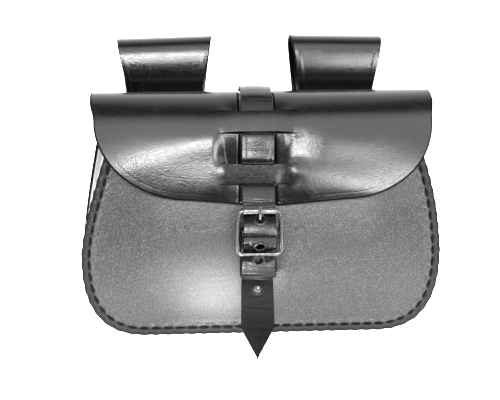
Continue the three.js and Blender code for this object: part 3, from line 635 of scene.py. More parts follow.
# Back and flap: one piece of smooth leather that runs up the back, over the roll and down in front.
# Four cross slits let the strap through, a creased line follows the flap's edge, and the leather
# stands out over the strap between the slits of each pair.
CLOSURE_X = -5
FLAP_X, FLAP_X_RUN = 0.8, 0.2
ROLL_HALF, FLAP_HALF = 104.6, 102.5
ROLL_NARROWS = (146, 134)
FLAP_CORNER = {"z": 134, "width": 55, "height": 46}
FLAP_DIP = 4.2
BLEND_POWER = 2.2
ROLL_TILT, ROLL_TILT_RISE = 0.016, (112, 142)
FLAP_PROFILE = table(
    "place y z edge_y edge_z",
    ("base of back", 18.8, 0.3, 18.8, 0.3),
    ("low back", 18.8, 40, 18.8, 40),
    ("middle back", 18.8, 80, 18.8, 80),
    ("upper back", 18.8, 109, 18.8, 109),
    ("top of back", 18.8, 120, 18.8, 120),
    ("back of roll", 16.6, 134, 16.6, 134),
    ("rise of roll", 9, 145.2, 9, 145.2),
    ("top of roll", -2, 149.8, -1.5, 149.6),
    ("fall of roll", -12.5, 146.9, -9.4, 146.4),
    ("front of roll", -20.6, 138.6, -15.6, 138.2),
    ("high flap", -26.4, 125.5, -21.2, 125.5),
    ("middle flap", -30.2, 109, -26.6, 109),
    ("low flap", -33.2, 94, -29.9, 94),
    ("end of flap", -34.3, 83.8, -31.6, 83.8),
)
ROLL_TOP_T = [row["place"] for row in FLAP_PROFILE].index("top of roll") / (len(FLAP_PROFILE) - 1)
SLITS_Z = [138.8, 126.2, 108, 96.2]
SLIT_HALF, SLIT_OPEN, SLIT_END_OPEN, SLIT_SPREAD = 24, 0.55, 0.25, 4.5
SLIT_CLOSE_RUN, SLIT_LEAST_OPEN = 10, 0.02
FLAT_HALF, SPREAD_GROWTH, SLIT_FADE = 10, 1.5, 12
BRIDGE_OUT, BRIDGE_SLOPE, BRIDGE_TILT = 1.15, 0.08, (21, 30)
BRIDGE_END_SLOPE, BRIDGE_END_RUN = 0.1, 8
RECESS_IN, RECESS_MIDDLE, RECESS_BELOW, RECESS_SLOPE = 1.5, 2.0, 0.9, 0.17
RECESS_FOLD, FOLD_POWER = {-1: (20, 26), 1: (18, 41)}, {-1: 1.05, 1: 1.3}
RECESS_TILT = {-1: (17, 28), 1: (16, 22)}
SLIT_END_RUN, SLIT_END_BLUR, BLUR_STEPS = 6, 8, 41
STRAP_BED = {"inset": 10.6, "half": 0.9, "depth": 0.9}
FLAP_RIDGES = table(
    "place from to height half",
    ("from the left slit end", (-28, 124), (-99, 101), 0.4, 10),
    ("from the right slit end", (18, 107), (86, 84), 0.4, 10),
)
RIDGE_RISE, RIDGE_FALL = 12, 25
BACK_Z, FLAP_TOP_Z, FLAP_END_Z = (0.3, 120), 142.2, 84.6
BACK_ROWS, ROLL_ROWS, FLAP_ROWS = 34, 46, 112
ROW_WIDTH_SHARE, ROW_CLEARANCE = 0.35, 0.15
CENTRE_COLUMNS, SIDE_COLUMNS, SIDE_POWER = 60, 72, 0.8
CENTRE_SHARE = 0.55
EDGE_CREASE, EDGE_CREASE_BELOW_Z = {"inset": 3.0, "half": 0.45, "depth": 0.03}, 140
PROFILE_SAMPLES, FLAP_SAMPLES = 6001, 2000

dense_t = np.linspace(0, 1, PROFILE_SAMPLES)
centre_line, edge_line = columns_of(FLAP_PROFILE, "y z"), columns_of(FLAP_PROFILE, "edge_y edge_z")
dense_centre = smooth_line(centre_line, dense_t)


def place_at(z, side):
    """Place along the profile at a height, on the back or on the flap's side of the roll."""
    kept = dense_t <= ROLL_TOP_T if side == "back" else dense_t >= ROLL_TOP_T
    order = 1 if side == "back" else -1
    return np.interp(z, dense_centre[kept, 1][::order], dense_t[kept][::order])


def height_at(t):
    return np.interp(t, dense_t, dense_centre[:, 1])


def flap_half(t):
    """Half the width of back, roll or flap at a place along the profile."""
    z = height_at(t)
    narrowed = ease(between(z, ROLL_NARROWS))
    straight = FLAP_HALF - FLAP_CORNER["width"]
    drop = (FLAP_CORNER["z"] - z) / FLAP_CORNER["height"]
    corner = straight + FLAP_CORNER["width"] * np.sqrt(np.clip(1 - drop ** 2, 0, 1))
    dip = straight * (1 - (drop - 1) * FLAP_CORNER["height"] / FLAP_DIP)
    front = np.where(drop < 0, mix(ROLL_HALF, FLAP_HALF, narrowed), np.where(drop < 1, corner, dip))
    return np.where(t < ROLL_TOP_T, half_width(z, BACK_OUTLINE), front)


def strap_lift(off, side, z, t):
    """How far the flap stands out (+) or in (-) near the strap, at a distance from its middle."""
    first, second, third, fourth = SLITS_Z
    middle = (second + third) / 2
    right = side > 0
    power = np.where(right, FOLD_POWER[1], FOLD_POWER[-1])
    folded, tilting = (
        np.where(right, between(off, ends[1]), between(off, ends[-1]))
        for ends in (RECESS_FOLD, RECESS_TILT)
    )
    fold = np.clip(1 - folded, 0, 1) ** power
    tilted = 1 - ease(tilting)
    slit_run = SLIT_HALF - FLAT_HALF
    away = np.clip(np.maximum(z - first, fourth - z), 0, None)
    spread = 1 - ease((off - FLAT_HALF) / (slit_run + SPREAD_GROWTH * away))
    above = -RECESS_IN * spread * ease((first + SLIT_FADE - z) / SLIT_FADE)
    over = BRIDGE_OUT * (1 - ease((off - FLAT_HALF) / slit_run))
    recess = RECESS_SLOPE * (z - middle) * tilted - RECESS_MIDDLE * fold
    leaning = 1 - ease(between(off, BRIDGE_TILT))
    turned = BRIDGE_SLOPE + BRIDGE_END_SLOPE * right * ease((off - FLAT_HALF) / BRIDGE_END_RUN)
    low_bridge = over + turned * (z - (third + fourth) / 2) * leaning
    below = -RECESS_BELOW * spread
    bands = [z >= first, z > second, z >= third, z > fourth]
    lift = np.select(bands, [above, over, recess, low_bridge], below)
    return np.where(t < ROLL_TOP_T, 0, lift)


def groove(distance, inset, half, depth):
    """How deep a groove along an edge is at a distance from that edge."""
    return depth * bell(distance - inset, half)


def normals_of(points):
    """Unit normals of a grid of points (rows, columns, xyz)."""
    normal = np.cross(np.gradient(points, axis=1), np.gradient(points, axis=0))
    return normal / np.maximum(np.linalg.norm(normal, axis=-1, keepdims=True), 1e-9)


# Rows: even steps up the back and over the roll, then steps along the flap's outline, with a row on
# each lip of every slit.
back_t = place_at(np.linspace(*BACK_Z, BACK_ROWS), "back")
flap_top_t = place_at(FLAP_TOP_Z, "flap")
roll_t = np.linspace(back_t[-1], flap_top_t, ROLL_ROWS + 1)[1:]
outline_t = np.linspace(flap_top_t, place_at(FLAP_END_Z, "flap"), FLAP_SAMPLES)
outline_z = height_at(outline_t)
outline_run = length_along(np.stack([ROW_WIDTH_SHARE * flap_half(outline_t), outline_z], -1))
flap_z = np.interp(np.linspace(0, outline_run[-1], FLAP_ROWS), outline_run, outline_z)[1:]
flap_z = np.array([z for z in flap_z if min(abs(z - s) for s in SLITS_Z) > ROW_CLEARANCE])
row_z = np.concatenate([flap_z, SLITS_Z, SLITS_Z])
row_lip = np.concatenate([np.zeros(len(flap_z)), np.ones(len(SLITS_Z)), -np.ones(len(SLITS_Z))])
order = np.lexsort((-row_lip, -row_z))
row_z, row_lip = row_z[order], row_lip[order]
row_t = np.concatenate([back_t, roll_t, place_at(row_z, "flap")])
lips = np.concatenate([np.zeros(len(row_t) - len(row_lip)), row_lip])
slit_rows = np.flatnonzero(lips > 0)

side_share = np.linspace(0, 1, SIDE_COLUMNS + 1)[1:]
side_share = np.concatenate([side_share[:-1] ** SIDE_POWER, [1]])
offsets = np.linspace(-SLIT_HALF, SLIT_HALF, CENTRE_COLUMNS + 1)
half = flap_half(row_t)[:, None]
middle = (FLAP_X * ease((row_t - ROLL_TOP_T) / FLAP_X_RUN))[:, None]
centre = np.minimum(1, CENTRE_SHARE * half / SLIT_HALF)
closure = mix(middle, CLOSURE_X, centre)
x = np.concatenate(
    [
        mix(closure - centre * SLIT_HALF, middle - half, side_share[None, ::-1]),
        closure + centre * offsets[None],
        mix(closure + centre * SLIT_HALF, middle + half, side_share[None]),
    ],
    axis=1,
)
off = np.abs(x - CLOSURE_X)
opened = mix(SLIT_OPEN, SLIT_END_OPEN, ease((off - FLAT_HALF) / (SLIT_HALF - FLAT_HALF)))
opened = opened * (1 - ease((off - SLIT_HALF) / SLIT_CLOSE_RUN))
t = np.repeat(row_t[:, None], x.shape[1], axis=1)
z = height_at(t)
moved = z.copy()
for slit in SLITS_Z:
    away = z - slit
    side = np.where(lips[:, None] != 0, lips[:, None], np.sign(away))
    near = np.clip(1 - np.abs(away) / SLIT_SPREAD, 0, 1)
    moved += np.where(t > ROLL_TOP_T, side * np.maximum(opened, SLIT_LEAST_OPEN) * near, 0)
t = np.where(t >= flap_top_t, place_at(moved, "flap"), t)
blend = (np.clip(np.abs(x) / ROLL_HALF, 0, 1) ** BLEND_POWER)[..., None]
at_centre, at_edge = (smooth_line(line, t.ravel()) for line in (centre_line, edge_line))
profile = mix(at_centre, at_edge, blend.reshape(-1, 1)).reshape(t.shape + (2,))
tilt = ROLL_TILT * x * ease(between(profile[..., 1], ROLL_TILT_RISE))
plain = np.stack([x, profile[..., 0], profile[..., 1] + tilt], -1)
edge = border_distance(plain, every=1)
side = np.sign(x - CLOSURE_X)
blur = np.linspace(-1, 1, BLUR_STEPS)
weights = (1 + np.cos(math.pi * blur)) / np.sum(1 + np.cos(math.pi * blur))
blurred = sum(w * strap_lift(off, side, moved + SLIT_END_BLUR * b, t) for b, w in zip(blur, weights))
lift = mix(strap_lift(off, side, moved, t), blurred, ease((off - SLIT_HALF) / SLIT_END_RUN + 1))
lift -= np.where((lift <= 0) & (t > back_t[-1]), groove(off, **STRAP_BED), 0)
for ridge in FLAP_RIDGES:
    start, end = np.array(ridge["from"], float), np.array(ridge["to"], float)
    length = np.linalg.norm(end - start)
    way = (end - start) / length
    from_start = plain[..., [0, 2]] - start
    along = from_start @ way
    aside = from_start @ np.array([-way[1], way[0]])
    fading = ease(along / RIDGE_RISE + 0.5) * ease((length - along) / RIDGE_FALL + 0.5)
    lift += np.where(t > ROLL_TOP_T, ridge["height"] * bell(aside, ridge["half"]) * fading, 0)
creased = (t > ROLL_TOP_T) & (plain[..., 2] < EDGE_CREASE_BELOW_Z)
lift -= np.where(creased, groove(edge, **EDGE_CREASE), 0)
points = plain - normals_of(plain) * lift[..., None]
holes = np.zeros((points.shape[0] - 1, points.shape[1] - 1), bool)
holes[np.ix_(slit_rows, np.arange(SIDE_COLUMNS, SIDE_COLUMNS + CENTRE_COLUMNS))] = True
back_flap = leather_wall("back_and_flap_leather", points, PANEL, smooth_leather, edge, holes)
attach(back_flap, "root")
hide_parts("back_flap")

# Edge paint: black, laid on in a bead that closes the flap's cut edge. It is a round line along the
# border of the flap's grid, from the top of the roll at the left to the top at the right.
EDGE_PAINT_R, EDGE_PAINT_STEPS, EDGE_PAINT_LEAST = 0.95, 420, 0.05


def even_places(points, count):
    """Places from 0 to 1 that cut a densely sampled line into even lengths."""
    run = length_along(points)
    return np.interp(np.linspace(0, run[-1], count), run, np.linspace(0, 1, len(points)))


from_row = np.searchsorted(row_t, ROLL_TOP_T)
rim = np.concatenate([points[from_row:, 0], points[-1, 1:-1], points[from_row:, -1][::-1]])
apart = np.linalg.norm(np.diff(rim, axis=0), axis=1) > EDGE_PAINT_LEAST
rim = rim[np.concatenate([[True], apart])]
rim = smooth_line(rim, even_places(rim, EDGE_PAINT_STEPS))
edge_paint = wire("flap_edge_paint", rim, EDGE_PAINT_R)
edge_paint.data.materials.append(burnished_edge)
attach(edge_paint, "root")

# Belt loops: two strips of smooth leather, each folded over behind the roll and wider at its fold,
# with both ends sewn to the back. The left one stands a little lower and tilts.
LOOP_HALF_SPACING = 56
LOOP_THICK = 1.8
LOOPS = table(
    "node side rise tilt",
    ("belt_loop_left", -1, -1.8, 0.045),
    ("belt_loop_right", 1, 0.6, 0),
)
LOOP_PATH = table(
    "place y z half rise",
    ("front end", 21, 84, 22.5, 0),
    ("front seam", 21, 104, 22.8, 0),
    ("top of seam", 21, 121, 23.2, 0),
    ("leaves the back", 20.7, 136, 23.8, 0),
    ("behind the roll", 20.2, 150, 24.3, 0.3),
    ("front of loop", 18.5, 161, 25.8, 0.6),
    ("upper front", 18.6, 170, 27.5, 0.85),
    ("shoulder", 20.2, 178.5, 29.2, 1),
    ("top front", 23.4, 183, 30, 1),
    ("fold", 29.6, 184.7, 30.4, 1),
    ("rear shoulder", 36.8, 181.4, 30.2, 1),
    ("upper rear", 40, 172, 29, 0.85),
    ("rear of loop", 40.6, 160, 27.5, 0.6),
    ("lower rear", 38.2, 143, 25.8, 0.3),
    ("closing", 32.4, 126, 24.2, 0),
    ("near the seam", 25.8, 112, 23.2, 0),
    ("rear seam", 23.1, 101, 22.8, 0),
    ("rear end", 23.1, 86, 22.5, 0),
)
LOOP_ROWS, LOOP_COLUMNS, LOOP_SAMPLES = 200, 56, 3000
LOOP_CREASE = {"inset": 2.6, "half": 0.5, "depth": 0.3}
LOOP_SEAM_Y, LOOP_SEAM_HALF, LOOP_SEAM_Z = 24.0, 18.4, (89, 98.5)
LOOP_STITCHES = (5, 1, 5, 1)


def even_line(points, samples, count):
    """A smooth line through points, cut into even lengths, and its places from 0 to 1."""
    places = even_places(smooth_line(points, np.linspace(0, 1, samples)), count)
    return smooth_line(points, places), places


for loop in LOOPS:
    centre_x = CLOSURE_X + loop["side"] * LOOP_HALF_SPACING
    rise = columns_of(LOOP_PATH, "rise")[:, 0]
    line = columns_of(LOOP_PATH, "half y z")
    line[:, 2] += loop["rise"] * rise
    path, places = even_line(line, LOOP_SAMPLES, LOOP_ROWS)
    risen = np.interp(places, np.linspace(0, 1, len(LOOP_PATH)), rise)
    off = path[:, :1] * np.linspace(-1, 1, LOOP_COLUMNS)[None]
    y = np.repeat(path[:, 1:2], LOOP_COLUMNS, axis=1)
    plain = np.stack([centre_x + off, y, path[:, 2:] + loop["tilt"] * off * risen[:, None]], -1)
    edge = border_distance(plain)
    points = plain + normals_of(plain) * groove(edge, **LOOP_CREASE)[..., None]
    piece = leather_wall(loop["node"] + "_leather", points, LOOP_THICK, smooth_leather, edge)
    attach(piece, "root")
    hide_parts(loop["node"])
    left, right = centre_x - LOOP_SEAM_HALF, centre_x + LOOP_SEAM_HALF
    low, high = LOOP_SEAM_Z
    around_seam = [(left, low), (right, low), (right, high), (left, high), (left, low)]
    turn = np.array([(x, LOOP_SEAM_Y, z) for x, z in around_seam])
    holes = [
        mix(start, end, np.linspace(0, 1, count, endpoint=False)[:, None])
        for start, end, count in zip(turn[:-1], turn[1:], LOOP_STITCHES)
    ]
    holes = np.concatenate(holes + [turn[-1:]])
    thread = stitch_row(loop["node"] + "_thread", holes, (0, 1, 0))
    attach(thread, "root")

# Buckle tab: a short doubled strip of smooth leather, folded round the buckle's middle bar with a
# slot for the tongue, and sewn to the front panel behind the strap.
TAB = 1.6
BUCKLE_Y, MIDDLE_BAR_Z, MIDDLE_BAR_R = -43.7, 69.3, 1.1
TAB_HALF, TAB_SLOT_HALF, TAB_SLOT_FROM_Z = 10.9, 2.6, 64.5
TAB_LOOP_R = MIDDLE_BAR_R + GAP + TAB / 2
TAB_OUTER = table(
    "place y z",
    ("sewn end", -37.4, 40.5),
    ("under the low bar", -37.4, 54.2),
    ("rise", -38, 57.8),
    ("behind second eyelet", -39.5, 61.4),
    ("below the bar", -42, 65),
)
TAB_INNER = table(
    "place y z",
    ("behind the bar", -39.3, 65),
    ("fall", -37, 61),
    ("on the front", -35.7, 57.4),
    ("flat", -35.5, 54),
    ("sewn end", -35.5, 40.5),
)
TAB_TURN_DEG = np.arange(-62, 189, 25)
TAB_ROWS, TAB_SIDE_COLUMNS, TAB_SAMPLES = 110, 11, 2000
TAB_SEAM = {"half": 9.2, "y": -38.2, "z": 43.2, "count": 4}


def on_centre(line):
    """A line of points (y, z) in the strap's middle plane."""
    return np.c_[np.full(len(line), float(CLOSURE_X)), line]


def round_bar(degrees, radius):
    """Points on a turn round the middle bar, counted from the front over the top."""
    turn = np.radians(degrees)
    y, z = BUCKLE_Y - radius * np.cos(turn), MIDDLE_BAR_Z + radius * np.sin(turn)
    return on_centre(np.stack([y, z], -1))


def level_holes(half, y, z, count):
    """Holes of a level row, as far to the left of the strap's middle as to the right."""
    return np.array([(CLOSURE_X + s, y, z) for s in np.linspace(-half, half, count)])


turn = round_bar(TAB_TURN_DEG, TAB_LOOP_R)
outer, inner = (on_centre(columns_of(rows, "y z")) for rows in (TAB_OUTER, TAB_INNER))
line = np.concatenate([outer, turn, inner])
path, _ = even_line(line, TAB_SAMPLES, TAB_ROWS)
right = np.linspace(TAB_SLOT_HALF, TAB_HALF, TAB_SIDE_COLUMNS)
across = np.concatenate([-right[::-1], right])
points = np.repeat(path[:, None], len(across), axis=1)
points[..., 0] += across
holes = np.zeros((TAB_ROWS - 1, len(across) - 1), bool)
holes[:, TAB_SIDE_COLUMNS - 1] = np.minimum(path[:-1, 2], path[1:, 2]) >= TAB_SLOT_FROM_Z
tab = leather_wall("buckle_tab_leather", points, TAB, smooth_leather, border_distance(points), holes)
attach(tab, "root")
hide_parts("buckle_tab")
tab_thread = stitch_row("buckle_tab_thread", level_holes(**TAB_SEAM), (0, -1, 0))
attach(tab_thread, "root")

# Buckle: a bent frame of nickel-plated steel wire with a middle bar, a rolled sleeve that turns on its
# top bar, and a tongue hooked round the middle bar, which stands in the strap's first eyelet.
TOP_BAR_Z, LOW_BAR_Z = 82, 56.2
WIRE_R, TOP_BAR_R = 1.3, 1.0
FRAME_TOP_HALF, FRAME_LOW_HALF = 12.2, 13
FRAME_TOP_CORNER, FRAME_LOW_CORNER = 2.2, 3.4
FRAME_LAP, MIDDLE_BAR_LAP = 1, 0.4
ROLLER_R, ROLLER_LENGTH, ROLLER_ROUND = 2, 19.2, 0.2
TONGUE_R, HOOK_R = 0.85, 2.1
HOOK_TURN_DEG = np.arange(10, -211, -22)
TONGUE_PATH = table(
    "place y z",
    ("behind the strap", -42.3, 71.8),
    ("below the eyelet", -43.2, 73.6),
    ("in the eyelet", -44.5, 75.4),
    ("before the strap", -46, 77.4),
    ("below the roller", -47.05, 80),
    ("on the roller", -47.15, 83),
    ("tip", -46.9, 85.6),
)
WIRE_SIDES, BEND_STEPS, BAR_STEPS, ROLLER_STEPS, TONGUE_STEPS = 4, 9, 9, 40, 90
NICKEL_HEX = ("7C7C7C", "464646")
NICKEL_HAZE_MM, NICKEL_SCRATCH_MM, NICKEL_SCRATCH_DEPTH_MM = 4, 0.5, 0.012


# Nickel plate on steel, tumbled and worn: bright with a dull haze in patches and fine scratches.
def nickel_plate(name, colours):
    material, node = new_material(name)
    place = node("TexCoord").outputs["Object"]
    haze = node("TexNoise", {"Vector": place, "Scale": 1 / (NICKEL_HAZE_MM * MM), "Detail": 3.0})
    scratch = node("TexNoise", {"Vector": place, "Scale": 1 / (NICKEL_SCRATCH_MM * MM)})
    tones = {6: linear(colours[0]), 7: linear(colours[1])}
    tone = node("Mix", {0: haze, **tones}, data_type="RGBA")
    dull = node("MapRange", {"Value": haze, "To Min": 0.16, "To Max": 0.38})
    bump = node("Bump", {"Height": scratch, "Distance": NICKEL_SCRATCH_DEPTH_MM * MM, "Strength": 0.5})
    surface = {"Metallic": 1.0, "Roughness": dull, "Normal": bump}
    plate = node("BsdfPrincipled", {"Base Color": tone.outputs[2], **surface})
    node("OutputMaterial", {"Surface": plate})
    return material


nickel = nickel_plate("nickel_plated_steel", NICKEL_HEX)


def frame_wire(half, bar_z, corner, up, lap):
    """Half of the frame: from the left joint round both corners of a bar to the right joint. The bar
    is above the joints where up is 1 and below them where it is -1."""
    joint_z = TOP_BAR_Z - FRAME_TOP_CORNER - FRAME_LAP - lap
    points = [(-FRAME_TOP_HALF, joint_z)]
    for n, side in enumerate((-1, 1)):
        for turn in np.radians(180 - up * 90 * np.linspace(n, n + 1, BEND_STEPS)):
            x, z = side * (half - corner), bar_z - up * corner
            points.append((x + corner * np.cos(turn), z + corner * np.sin(turn)))
    points.append((FRAME_TOP_HALF, joint_z))
    return np.array([(CLOSURE_X + x, BUCKLE_Y, z) for x, z in points])


def combine(body, tool, operation):
    """Joins a tool's solid to a body or cuts it out of the body, and removes the tool."""
    change = body.modifiers.new("change", "BOOLEAN")
    change.operation = operation
    change.object = tool
    bpy.context.view_layer.objects.active = body
    bpy.ops.object.modifier_apply(modifier=change.name)
    bpy.data.objects.remove(tool)


def lathe(name, profile, centre, axis, steps):
    """A ring turned from a closed profile (count, xyz in mm) on an axis through a centre."""
    bpy.ops.mesh.primitive_circle_add(vertices=len(profile), radius=MM)
    ring = bpy.context.object
    ring.name = ring.data.name = name
    ring.data.vertices.foreach_set("co", (profile * MM).ravel())
    bpy.ops.object.mode_set(mode="EDIT")
    bpy.ops.mesh.select_all(action="SELECT")
    bpy.ops.mesh.spin(steps=steps, angle=2 * math.pi, center=Vector(centre) * MM, axis=axis)
    close_mesh()
    return ring


low_wire = frame_wire(FRAME_LOW_HALF, LOW_BAR_Z, FRAME_LOW_CORNER, -1, 0)
top_wire = frame_wire(FRAME_TOP_HALF, TOP_BAR_Z, FRAME_TOP_CORNER, 1, FRAME_LAP)
middle_half = FRAME_TOP_HALF + MIDDLE_BAR_LAP
middle_x = CLOSURE_X + np.linspace(-middle_half, middle_half, BAR_STEPS)
middle_bar = np.array([(x, BUCKLE_Y, MIDDLE_BAR_Z) for x in middle_x])
buckle_frame = wire("buckle_frame_wire", low_wire, WIRE_R, WIRE_SIDES)
for name, bar, radius in (("top_bar", top_wire, TOP_BAR_R), ("middle_bar", middle_bar, MIDDLE_BAR_R)):
    combine(buckle_frame, wire(name, bar, radius, WIRE_SIDES), "UNION")

bore = TOP_BAR_R + GAP
ends = [(-0.5, bore), (0.5, bore), (0.5, ROLLER_R), (-0.5, ROLLER_R)]
profile = [(CLOSURE_X + s * ROLLER_LENGTH, BUCKLE_Y, TOP_BAR_Z + r) for s, r in ends]
centre = (CLOSURE_X, BUCKLE_Y, TOP_BAR_Z)
sleeve = lathe("buckle_roller_sleeve", np.array(profile), centre, (1, 0, 0), ROLLER_STEPS)
rounded = sleeve.modifiers.new("rounded", "BEVEL")
rounded.width = ROLLER_ROUND * MM
rounded.segments = 2
rounded.limit_method = "ANGLE"
bpy.ops.object.modifier_apply(modifier=rounded.name)
bpy.ops.object.shade_smooth_by_angle(angle=math.radians(40))

line = np.concatenate([round_bar(HOOK_TURN_DEG, HOOK_R), on_centre(columns_of(TONGUE_PATH, "y z"))])
line = smooth_line(line, np.linspace(0, 1, TONGUE_STEPS))
tongue = wire("buckle_tongue_wire", line, TONGUE_R, WIRE_SIDES)

metal = ((buckle_frame, "buckle_frame"), (sleeve, "buckle_roller"), (tongue, "buckle_tongue"))
for piece, replaced in metal:
    piece.data.materials.append(nickel)
    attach(piece, "root")
    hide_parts(replaced)

# Strap: a strip of smooth leather, sewn to the back, laid over the roll and woven through the slits,
# then through the buckle, with a pointed free end. Creased lines follow its edges, and it is
# wrinkled where it bends.
STRAP, STRAP_HALF = 1.8, 9.4
STRAP_STEPS, STRAP_BETWEEN, STRAP_UNDER = (5, 1.6, 1.6, 1.6), 1.2, -0.6
STRAP_OUT = PANEL / 2 + GAP + STRAP / 2
STRAP_ARCH, STRAP_ROLL_ROWS = 1.2, 12
STRAP_BACK_Z = [84, 96, 108, 119]
STRAP_ROLL_Z = (122, 145.8)
STRAP_FRONT = table(
    "place y z eyelet",
    ("before the roller", -38.2, 87, 0),
    ("behind the roller", -40.35, 82.6, 0),
    ("leaves the roller", -41.2, 80.2, 0),
    ("first eyelet", -44.6, 76.8, 1),
    ("meets the middle bar", -46.7, 73.6, 0),
    ("over the middle bar", -47.8, 70.4, 0),
    ("crest", -48.2, 67.5, 0),
    ("leaves the middle bar", -47.7, 64.9, 0),
    ("second eyelet", -46, 62.1, 2),
    ("fall", -43.6, 59.8, 0),
    ("meets the low bar", -41.3, 58.1, 0),
    ("behind the low bar", -40.45, 56.2, 0),
    ("third eyelet", -40.6, 51.8, 3),
    ("start of bend", -41.8, 48, 0),
    ("bend", -43.5, 44.3, 0),
    ("end of bend", -45.6, 40.9, 0),
    ("start of tail", -48, 38.4, 0),
    ("fourth eyelet", -50.9, 36, 4),
    ("middle of tail", -61.8, 27.4, 0),
    ("shoulder of point", -72.4, 18, 0),
    ("side of point", -79.4, 11.5, 0),
    ("tip", -83.8, 7, 0),
)
TAIL_DRIFT_X, TAIL_DRIFT_FROM_Z = -4.5, 56
POINT_LENGTH, POINT_END = 19, 0.05
PROFILE_STEP = 1e-4
STRAP_ROWS, STRAP_COLUMNS, STRAP_SAMPLES = 760, 33, 6000
STRAP_CREASE = {"inset": 3.0, "half": 0.5, "depth": 0.14}
STRAP_HOLE_R, STRAP_HOLE_SIDES, PUNCH_LENGTH = 3.2, 40, 8
STRAP_CROWN = 0.35
STRAP_SEAM = {"half": 7, "y": BACK_Y + STRAP_OUT + STRAP / 2, "z": 87.5, "count": 3}
WRINKLES = table(
    "place z spread count depth",
    ("between the bridges", 113, 4, 3, 0.08),
    ("above the roller", 85.5, 2, 4, 0.12),
    ("below the buckle", 46, 6, 11, 0.1),
    ("on the tail", 33, 7, 3, 0.08),
)
WRINKLE_SEED, WRINKLE_HALF, WRINKLE_SLOPE = 11, 0.55, 0.08
WRINKLE_ASIDE, WRINKLE_WIDTH = 6, (5, 11)
WRINKLE_WAVE = {"height": 0.12, "length": 2.3}


def beside_flap(t, offset):
    """Point on the flap's centre line, moved outwards."""
    t = float(t)
    ahead, behind = smooth_line(centre_line, np.array([t + PROFILE_STEP, t - PROFILE_STEP]))
    along = (ahead - behind) / np.linalg.norm(ahead - behind)
    return smooth_line(centre_line, np.array([t]))[0] + np.array([along[1], -along[0]]) * offset


rows = [beside_flap(place_at(z, "back"), STRAP_OUT) for z in STRAP_BACK_Z]
from_t, to_t = place_at(STRAP_ROLL_Z[0], "back"), place_at(STRAP_ROLL_Z[1], "flap")
for share in np.linspace(0, 1, STRAP_ROLL_ROWS + 1):
    arch = STRAP_ARCH * math.sin(math.pi * share) ** 2
    rows.append(beside_flap(mix(from_t, to_t, share), STRAP_OUT + arch))
for n, slit in enumerate(SLITS_Z):
    before, after = (STRAP_BETWEEN, STRAP_UNDER)[:: 1 if n % 2 == 0 else -1]
    rows.append(beside_flap(place_at(slit + STRAP_STEPS[n], "flap"), before))
    rows.append(beside_flap(place_at(slit - STRAP_STEPS[n], "flap"), after))
    if n + 1 < len(SLITS_Z):
        rows.append(beside_flap(place_at((slit + SLITS_Z[n + 1]) / 2, "flap"), after))
lower = on_centre(columns_of(STRAP_FRONT, "y z"))
drift = (TAIL_DRIFT_FROM_Z - lower[:, 2]) / (TAIL_DRIFT_FROM_Z - lower[-1, 2])
lower[:, 0] += TAIL_DRIFT_X * np.maximum(0, drift)
line = np.concatenate([on_centre(rows), lower])
path, _ = even_line(line, STRAP_SAMPLES, STRAP_ROWS)
to_tip = length_along(path[::-1])[::-1]
half = STRAP_HALF * np.clip(to_tip / POINT_LENGTH, POINT_END, 1)
across = np.linspace(-1, 1, STRAP_COLUMNS)
plain = np.repeat(path[:, None], STRAP_COLUMNS, axis=1)
plain[..., 0] += half[:, None] * across
edge = border_distance(plain)
lift = -groove(edge, **STRAP_CREASE)
lift += STRAP_CROWN * (1 - across ** 2) * (half / STRAP_HALF)[:, None]
rng = np.random.default_rng(WRINKLE_SEED)
on_front = (np.arange(STRAP_ROWS) > np.argmax(path[:, 2]))[:, None]
aside = plain[..., 0] - CLOSURE_X
for wrinkle in WRINKLES:
    for _ in range(wrinkle["count"]):
        at = wrinkle["z"] + rng.uniform(-1, 1) * wrinkle["spread"]
        slope = rng.uniform(-WRINKLE_SLOPE, WRINKLE_SLOPE)
        middle = rng.uniform(-WRINKLE_ASIDE, WRINKLE_ASIDE)
        wide = rng.uniform(*WRINKLE_WIDTH)
        wave = WRINKLE_WAVE["height"] * np.sin(aside / WRINKLE_WAVE["length"] + at)
        fold = bell(plain[..., 2] - at - slope * aside - wave, WRINKLE_HALF)
        lift -= wrinkle["depth"] * fold * bell(aside - middle, wide) * on_front
points = plain - normals_of(plain) * lift[..., None]
strap_leather = leather(
    "creased_strap_leather", grain_depth_mm=0.06, gloss=0.4, crease_mm=(6, 1.2, 1.2), crease_share=1.2
)
strap = leather_wall("strap_leather", points, STRAP, strap_leather, edge)
eyelet_turns = []
for n, row in enumerate(STRAP_FRONT):
    if row["eyelet"]:
        along = Vector(lower[n + 1] - lower[n - 1]).normalized()
        outward = along.cross(Vector((1, 0, 0))).normalized()
        turn = Vector((0, 0, 1)).rotation_difference(outward).to_matrix().to_4x4()
        eyelet_turns.append((row["eyelet"], Matrix.Translation(Vector(lower[n]) * MM) @ turn))
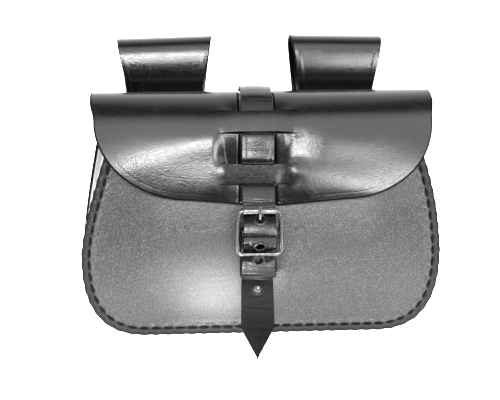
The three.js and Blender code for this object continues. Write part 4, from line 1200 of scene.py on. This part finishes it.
for _, turn in eyelet_turns:
    bpy.ops.mesh.primitive_cylinder_add(
        vertices=STRAP_HOLE_SIDES, radius=STRAP_HOLE_R * MM, depth=PUNCH_LENGTH * MM
    )
    bpy.context.object.data.transform(turn)
    combine(strap, bpy.context.object, "DIFFERENCE")
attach(strap, "root")
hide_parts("strap")
strap_thread = stitch_row("strap_end_thread", level_holes(**STRAP_SEAM), (0, 1, 0))
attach(strap_thread, "root")

# Eyelets: nickel-plated rings, rolled over on both faces of the strap to line its four holes. They
# are drawn in a darker copy of the buckle's nickel: painted shade for the rings under the buckle.
EYELET = {"hole": 2.4, "barrel": 2.9, "flange": 4.0, "thick": 0.5, "gap": 0.25}
EYELET_FACE = STRAP / 2 + EYELET["gap"]
EYELET_TOP = EYELET_FACE + EYELET["thick"]
EYELET_PROFILE = table(
    "place ring out level up",
    ("lower lip", "hole", 0, -EYELET_TOP, 0.2),
    ("lower bead", "hole", 0.3, -EYELET_TOP, 0),
    ("lower flange", "flange", -0.5, -EYELET_TOP, 0),
    ("lower rim", "flange", 0, -EYELET_FACE, 0),
    ("foot of barrel", "barrel", 0, -EYELET_FACE, 0),
    ("top of barrel", "barrel", 0, EYELET_FACE, 0),
    ("rim", "flange", 0, EYELET_FACE, 0),
    ("round of rim", "flange", -0.15, EYELET_FACE, 0.3),
    ("flange", "flange", -0.6, EYELET_TOP, 0),
    ("bead", "hole", 0.6, EYELET_TOP, 0),
    ("round of lip", "hole", 0.15, EYELET_TOP, -0.2),
    ("lip", "hole", 0, EYELET_TOP, -0.6),
)
EYELET_STEPS = 36
# Darker nickel colours for the whole ring: painted shade, not a darkening of the plate.
EYELET_SHADED_HEX = ("565656", "242424")
shaded_nickel = nickel_plate("nickel_with_painted_shade", EYELET_SHADED_HEX)
profile = [(EYELET[row["ring"]] + row["out"], 0, row["level"] + row["up"]) for row in EYELET_PROFILE]
for number, turn in eyelet_turns:
    eyelet = lathe(f"eyelet_{number}_ring", np.array(profile), (0, 0, 0), (0, 0, 1), EYELET_STEPS)
    bpy.ops.object.shade_smooth_by_angle(angle=math.radians(40))
    eyelet.data.transform(turn)
    eyelet.data.materials.append(shaded_nickel)
    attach(eyelet, "root")
    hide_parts(f"eyelet_{number}")

# The stitch that the seams were copied from isn't a piece of its own.
bpy.data.objects.remove(stitch)
